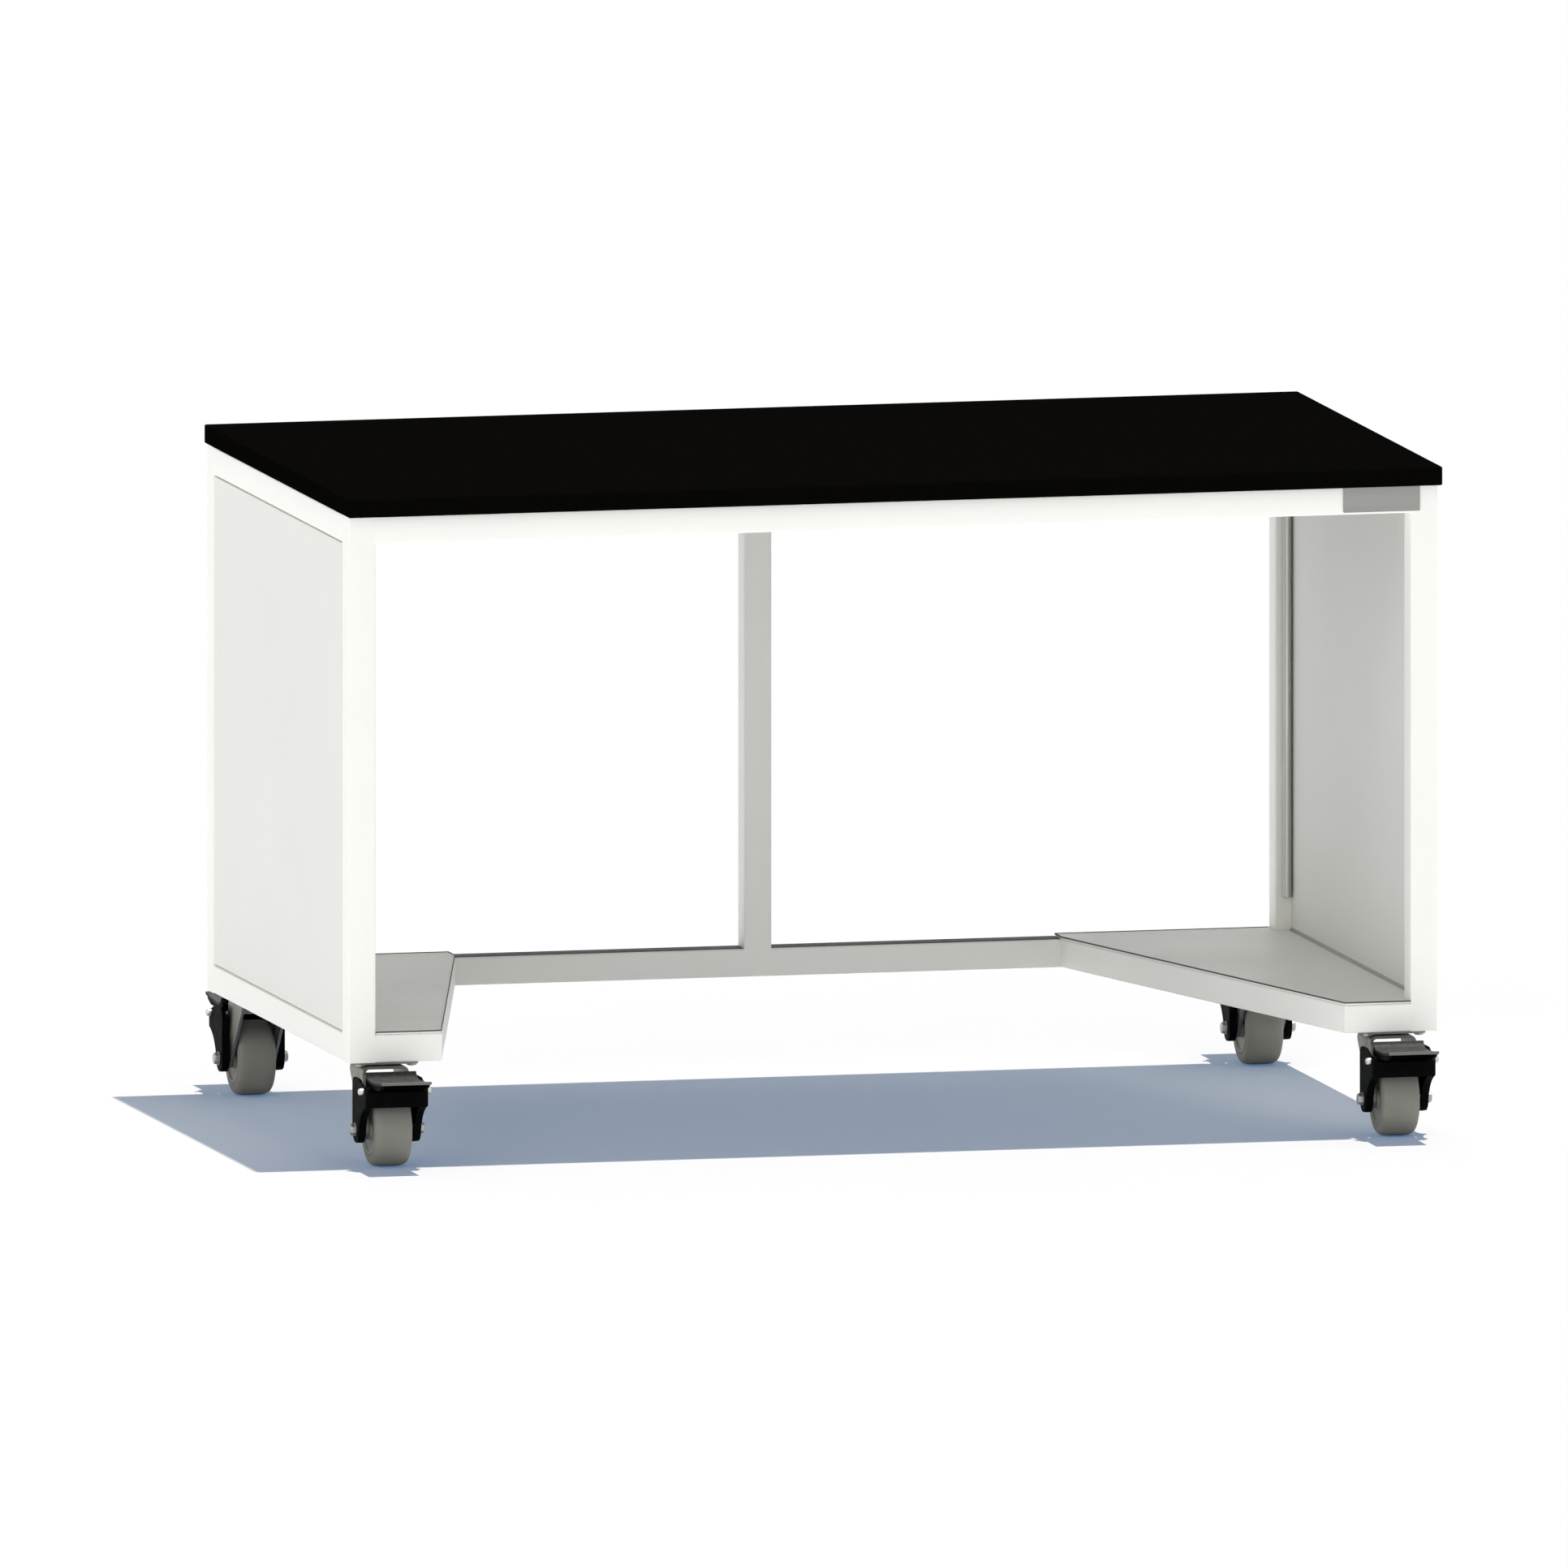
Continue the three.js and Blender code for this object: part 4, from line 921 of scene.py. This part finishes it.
swing = np.radians(np.linspace(*KNUCKLE_SPAN, 13))
knuckle = np.column_stack([pin_ahead + KNUCKLE * np.cos(swing), pin_z + KNUCKLE * np.sin(swing)])
under = np.linspace(lip_ahead - LIP_TAPER, wall_back, 40)
pedal_wall = np.concatenate([
    knuckle,
    [(pin_ahead + KNUCKLE, wall_low), (WALL_FRONT, wall_low), (BEAK_AHEAD, cover_top - BEAK_FALL)],
    np.column_stack([under, tread_height(under) - PEDAL_WALL / 2]),
    [(guard, heel_z - GUARD_FALL), (guard, pin_z)],
])
pin_boss = np.array([(wall_inner, PIN_BORE), (wall_inner, PIN_BOSS), (PIN_BOSS_END, PIN_BOSS),
                     (PIN_BOSS_END, PIN_BORE)])
print("pedal walls stand", round(2 * wall_inner / MM, 1), "mm apart")

# %% [markdown]
# The shoe has to meet the tyre all along its face when the pedal is down. It could be fitted by eye, but
# the pedal's travel is known. So its face is drawn on the tyre's own circle in that position and then
# turned back about the pin. An arm on each side hangs it from the pin, and a web across joins the walls.

# %% Brake shoe
SHOE_TOUCH = 0.4 * MM
SHOE_DEPTH = 5.0 * MM
SHOE_HALF = 31.5 * MM
SHOE_SPAN = (44, 52)
ARM_HALF = 5.0 * MM
WEB_BACK, WEB_FRONT, WEB_DROP = 3.0 * MM, 6.0 * MM, 2.0 * MM
travel = math.radians(max(abs(angle) for angle in joints["brake_press_front_left"]["range_deg"]))


def released(outline):
    """An outline of the pressed pedal in (ahead, z), turned back about the pin by the pedal's travel."""
    out, rise = (outline - [pin_ahead, pin_z]).T
    return np.column_stack([pin_ahead + out * math.cos(travel) - rise * math.sin(travel),
                            pin_z + out * math.sin(travel) + rise * math.cos(travel)])


bearing = np.radians(np.linspace(*SHOE_SPAN, 9))
arc = np.column_stack([np.cos(bearing), np.sin(bearing)])
shoe_face = arc * (TYRE_RADIUS + SHOE_TOUCH) + [0.0, axle_at[1]]
shoe_back = arc[::-1] * (TYRE_RADIUS + SHOE_TOUCH + SHOE_DEPTH) + [0.0, axle_at[1]]
shoe = released(np.concatenate([shoe_face, shoe_back]))
arm = [(pin_ahead - ARM_HALF, pin_z), shoe[len(arc) - 1], shoe[-1], (pin_ahead + ARM_HALF, pin_z)]
web_top = heel_z - DIP_FALL - PEDAL_WALL / 2
web = [(pin_ahead + WEB_BACK, pin_z - WEB_DROP), (pin_ahead + WEB_FRONT, pin_z - WEB_DROP),
       (pin_ahead + WEB_FRONT, web_top), (pin_ahead + WEB_BACK, web_top)]
levers = [cheek(shoe, -SHOE_HALF, SHOE_HALF), cheek(web, -wall_inner, wall_inner)]
for sign in (-1, 1):
    levers += [cheek(outline, sign * wall_inner, sign * wall_outer) for outline in (pedal_wall, arm)]
    levers.append(skin(lathe(pin_boss * [sign, 1.0], pin_at, steps=40), closed=True))
on_casters("brake_pedal", "lever", levers, nylon, "pedal", "black_plastic", edge=0.5 * MM)
print("shoes swing", round(math.degrees(travel), 1), "degrees onto the tyres")

# %% [markdown]
# ## Axle bolts
# Fasteners are bright against the black covers. A cylinder with six sides would give a plain nut, but a
# real head is cut back to a circle at its end. So its ring has many points: a hexagon's radius is the
# flat's distance over the cosine of the angle from the middle of that flat, and it is capped towards the
# end.

# %% Axle bolts
HEAD_POINTS = 48
# The straight share of a head's length, two radii as shares of the flats' distance, and the shrink of the cap
STRAIGHT = 0.72
CAP, END_FACE = 1.04, 0.6
CHAMFER = 0.93
SHANK_RADIUS = 4.7 * MM
WASHER_RADIUS, WASHER = 9.0 * MM, 1.3 * MM
AXLE_FLAT = 7.0 * MM


def hexagon(flat, x_base, x_end, centre):
    """A bolt head along x: a six-sided ring from its base, chamfered to a circle at its end, and flat on
    top."""
    turn = np.linspace(0, 2 * math.pi, HEAD_POINTS, endpoint=False)
    six = flat / np.cos((turn + math.pi / 6) % (math.pi / 3) - math.pi / 6)
    rings = [(x_base, six), (x_base + STRAIGHT * (x_end - x_base), six),
             (x_end, np.minimum(six, CAP * flat) * CHAMFER), (x_end, six * 0 + END_FACE * flat)]
    return skin([np.column_stack([np.full(HEAD_POINTS, x), centre[0] + radius * np.cos(turn),
                                  centre[1] + radius * np.sin(turn)]) for x, radius in rings])


low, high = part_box("axle_bolt_front_left")
bolt_end = (high.x - low.x) / 2
seat = cover_half + COVER_WALL / 2
axle_parts = [skin(lathe([(-seat, SHANK_RADIUS), (seat, SHANK_RADIUS)], axle_at, steps=32))]
for sign in (-1, 1):
    washer = [(sign * seat, WASHER_RADIUS), (sign * (seat + WASHER), WASHER_RADIUS)]
    axle_parts.append(skin(lathe(washer, axle_at, steps=48)))
    axle_parts.append(hexagon(AXLE_FLAT, sign * (seat + WASHER), sign * bolt_end, axle_at))
on_casters("axle_bolt", "set", axle_parts, bolt_zinc, "swivel", "bright_steel", edge=0.3 * MM)
print("axles", round(2 * bolt_end / MM, 1), "mm over the heads")

# %% [markdown]
# ## Pivot pins
# The pins are riveted over into low domes outside the covers. A cylinder with half a ball at each end would
# stand out too far, so one profile is turned for shank and domes together. Half of it runs from the middle
# of the shank out to the pole of a dome, and its mirror image comes first.

# %% Pivot pins
PIN_SHANK, PIN_HEAD = 3.5 * MM, 5.0 * MM
PIN_HEAD_LENGTH = 6.7 * MM
# Points of a dome as (distance from the pin's end, radius)
DOME = np.array([(2.4, 5.0), (1.0, 4.3), (0.2, 2.8), (0.0, 0.0)]) * MM
low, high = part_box("brake_pin_front_left")
pin_end = (high.x - low.x) / 2
head = pin_end - PIN_HEAD_LENGTH
shank = [(0.0, PIN_SHANK), (head, PIN_SHANK), (head, PIN_HEAD)]
half_pin = np.concatenate([shank, [pin_end, 0.0] + DOME * [-1.0, 1.0]])
pin_profile = np.concatenate([half_pin[:0:-1] * [-1.0, 1.0], half_pin])
on_casters("brake_pin", "rivet", [skin(lathe(pin_profile, pin_at, steps=40))], bright_zinc, "swivel",
           "bright_steel")
print("pins", round(2 * pin_end / MM, 1), "mm over the domes")

# %% [markdown]
# ## Plate bolts
# Four bolts hold each caster's plate to the base. They sit near the plate's corners, heads down, and turn
# with nothing, so they ride on the frame. Their heads are low, because the fork's crown swings past below
# them. The axle's hexagon serves again, turned from x to the downward direction.

# %% Plate bolts
BOLT_X, BOLT_Y = 36.0 * MM, 41.0 * MM
BOLT_FLAT = 6.0 * MM
HEAD_HEIGHT = 3.0 * MM
PLATE_STEEL = 4.0 * MM
plate_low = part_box("caster_plate_front_left")[1].z - PLATE_STEEL
points, faces = hexagon(BOLT_FLAT, 0.0, HEAD_HEIGHT, (0.0, 0.0))
hanging = points[:, [1, 2, 0]] * [1.0, -1.0, -1.0]
for place in PLACES:
    heads = [placed((hanging + [x, y, plate_low], faces), place)
             for x, y in ((-BOLT_X, -BOLT_Y), (BOLT_X, -BOLT_Y), (BOLT_X, BOLT_Y), (-BOLT_X, BOLT_Y))]
    piece(f"plate_bolts_{place}", heads, bolt_zinc, "bench_frame", "bright_steel", edge=0.3 * MM)
print("plate bolts at", round(2 * BOLT_X / MM), "by", round(2 * BOLT_Y / MM), "mm")

# %% [markdown]
# ## Light
# The bench stands in a white room with one hard shadow straight below it. An area lamp would soften that
# shadow, so a small sun makes it, almost overhead and a little to the right. A sky that is brighter near the
# horizon fills the rest, and a wide soft lamp at the front left lifts the faces that look at the camera. The
# camera, and whatever mirrors or lets light through, sees plain white instead of that sky.

# %% Sky
HORIZON, ZENITH = 0.64, 0.3


def looked_at(tree):
    """One for what the camera sees, straight, mirrored or through glass, and zero for light that bounces on:
    the largest of three outputs of Light Path."""
    path = add(tree, "ShaderNodeLightPath", {}).outputs
    seen = add(tree, "ShaderNodeMath", {0: path["Is Camera Ray"], 1: path["Is Glossy Ray"]},
               operation="MAXIMUM")
    return add(tree, "ShaderNodeMath", {0: seen.outputs[0], 1: path["Is Transmission Ray"]},
               operation="MAXIMUM").outputs[0]


world = bpy.data.worlds.new("studio")
bpy.context.scene.world = world
tree = empty_tree(world)
towards = add(tree, "ShaderNodeTexCoord", {}).outputs["Generated"]
height = add(tree, "ShaderNodeSeparateXYZ", {0: towards})
strength = add(tree, "ShaderNodeMapRange",
               {"Value": height.outputs["Z"], "To Min": HORIZON, "To Max": ZENITH})
sky = add(tree, "ShaderNodeBackground", {"Color": linear("#ffffff"), "Strength": strength.outputs["Result"]})
white = add(tree, "ShaderNodeBackground", {"Color": linear("#ffffff"), "Strength": 1.0})
either = add(tree, "ShaderNodeMixShader", {0: looked_at(tree), 1: sky.outputs[0], 2: white.outputs[0]})
add(tree, "ShaderNodeOutputWorld", {"Surface": either.outputs[0]})
print("the sky's strength goes from", HORIZON, "down to", ZENITH)

# %% Lamps
SUN_LEAN = math.radians(8.0)
SUN_SIZE = math.radians(0.6)
SUN_STRENGTH = 3.6
FILL_FROM = Vector((-0.65, -0.68, 0.25))
FILL_SIZE = math.radians(60)
FILL_STRENGTH = 0.5
sun = bpy.data.objects.new("sun", bpy.data.lights.new("sun", "SUN"))
sun.data.energy = SUN_STRENGTH
sun.data.angle = SUN_SIZE
sun.rotation_euler = (0.0, SUN_LEAN, 0.0)
fill = bpy.data.objects.new("soft fill", bpy.data.lights.new("soft fill", "SUN"))
fill.data.energy = FILL_STRENGTH
fill.data.angle = FILL_SIZE
fill.rotation_euler = (-FILL_FROM).to_track_quat("-Z", "Y").to_euler()
for lamp in (sun, fill):
    bpy.context.scene.collection.objects.link(lamp)
bpy.context.scene.view_settings.view_transform = "Standard"
print("sun leans", round(math.degrees(SUN_LEAN), 1), "degrees")

# %% [markdown]
# ## Floor
# The floor is one flat sheet that runs out into the white background. Its shadow is blue grey, which a
# plain white floor can't give under white lamps. So its colour for the camera is warm and its own glow is
# blue: the two add up to white in the sun and leave a blue grey in the shade. Light that bounces up to the
# bench sees a plain pale floor.

# %% Floor
FLOOR_HALF = 16.0
CLOUD = 400
floor_finish = bpy.data.materials.new("white studio floor")
tree = empty_tree(floor_finish)
shown = looked_at(tree)
where = add(tree, "ShaderNodeTexCoord", {}).outputs["Object"]
cloud = add(tree, "ShaderNodeTexNoise", {"Vector": where, "Scale": per_metre(CLOUD), "Detail": GRAIN_DETAIL})
warm = add(tree, "ShaderNodeMix", {0: cloud.outputs["Fac"], COLOUR_A: linear("#cfc8bd"),
                                   COLOUR_B: linear("#cdc6bb")}, data_type="RGBA")
plain = add(tree, "ShaderNodeMix", {0: shown, COLOUR_A: linear("#f6f7f8"), COLOUR_B: warm.outputs[2]},
            data_type="RGBA")
matt = add(tree, "ShaderNodeBsdfDiffuse", {"Color": plain.outputs[2]})
glow = add(tree, "ShaderNodeEmission", {"Color": linear("#345b81"), "Strength": shown})
both = add(tree, "ShaderNodeAddShader", {0: matt.outputs[0], 1: glow.outputs[0]})
add(tree, "ShaderNodeOutputMaterial", {"Surface": both.outputs[0]})
points, faces = sheet(np.array([[[-1, -1, 0], [1, -1, 0]], [[-1, 1, 0], [1, 1, 0]]]) * FLOOR_HALF)
ground = bpy.data.meshes.new("floor")
ground.from_pydata(points.tolist(), [], faces)
ground.materials.append(floor_finish)
floor = bpy.data.objects.new("floor", ground)
bpy.context.scene.collection.objects.link(floor)
print("floor", 2 * FLOOR_HALF, "m wide")
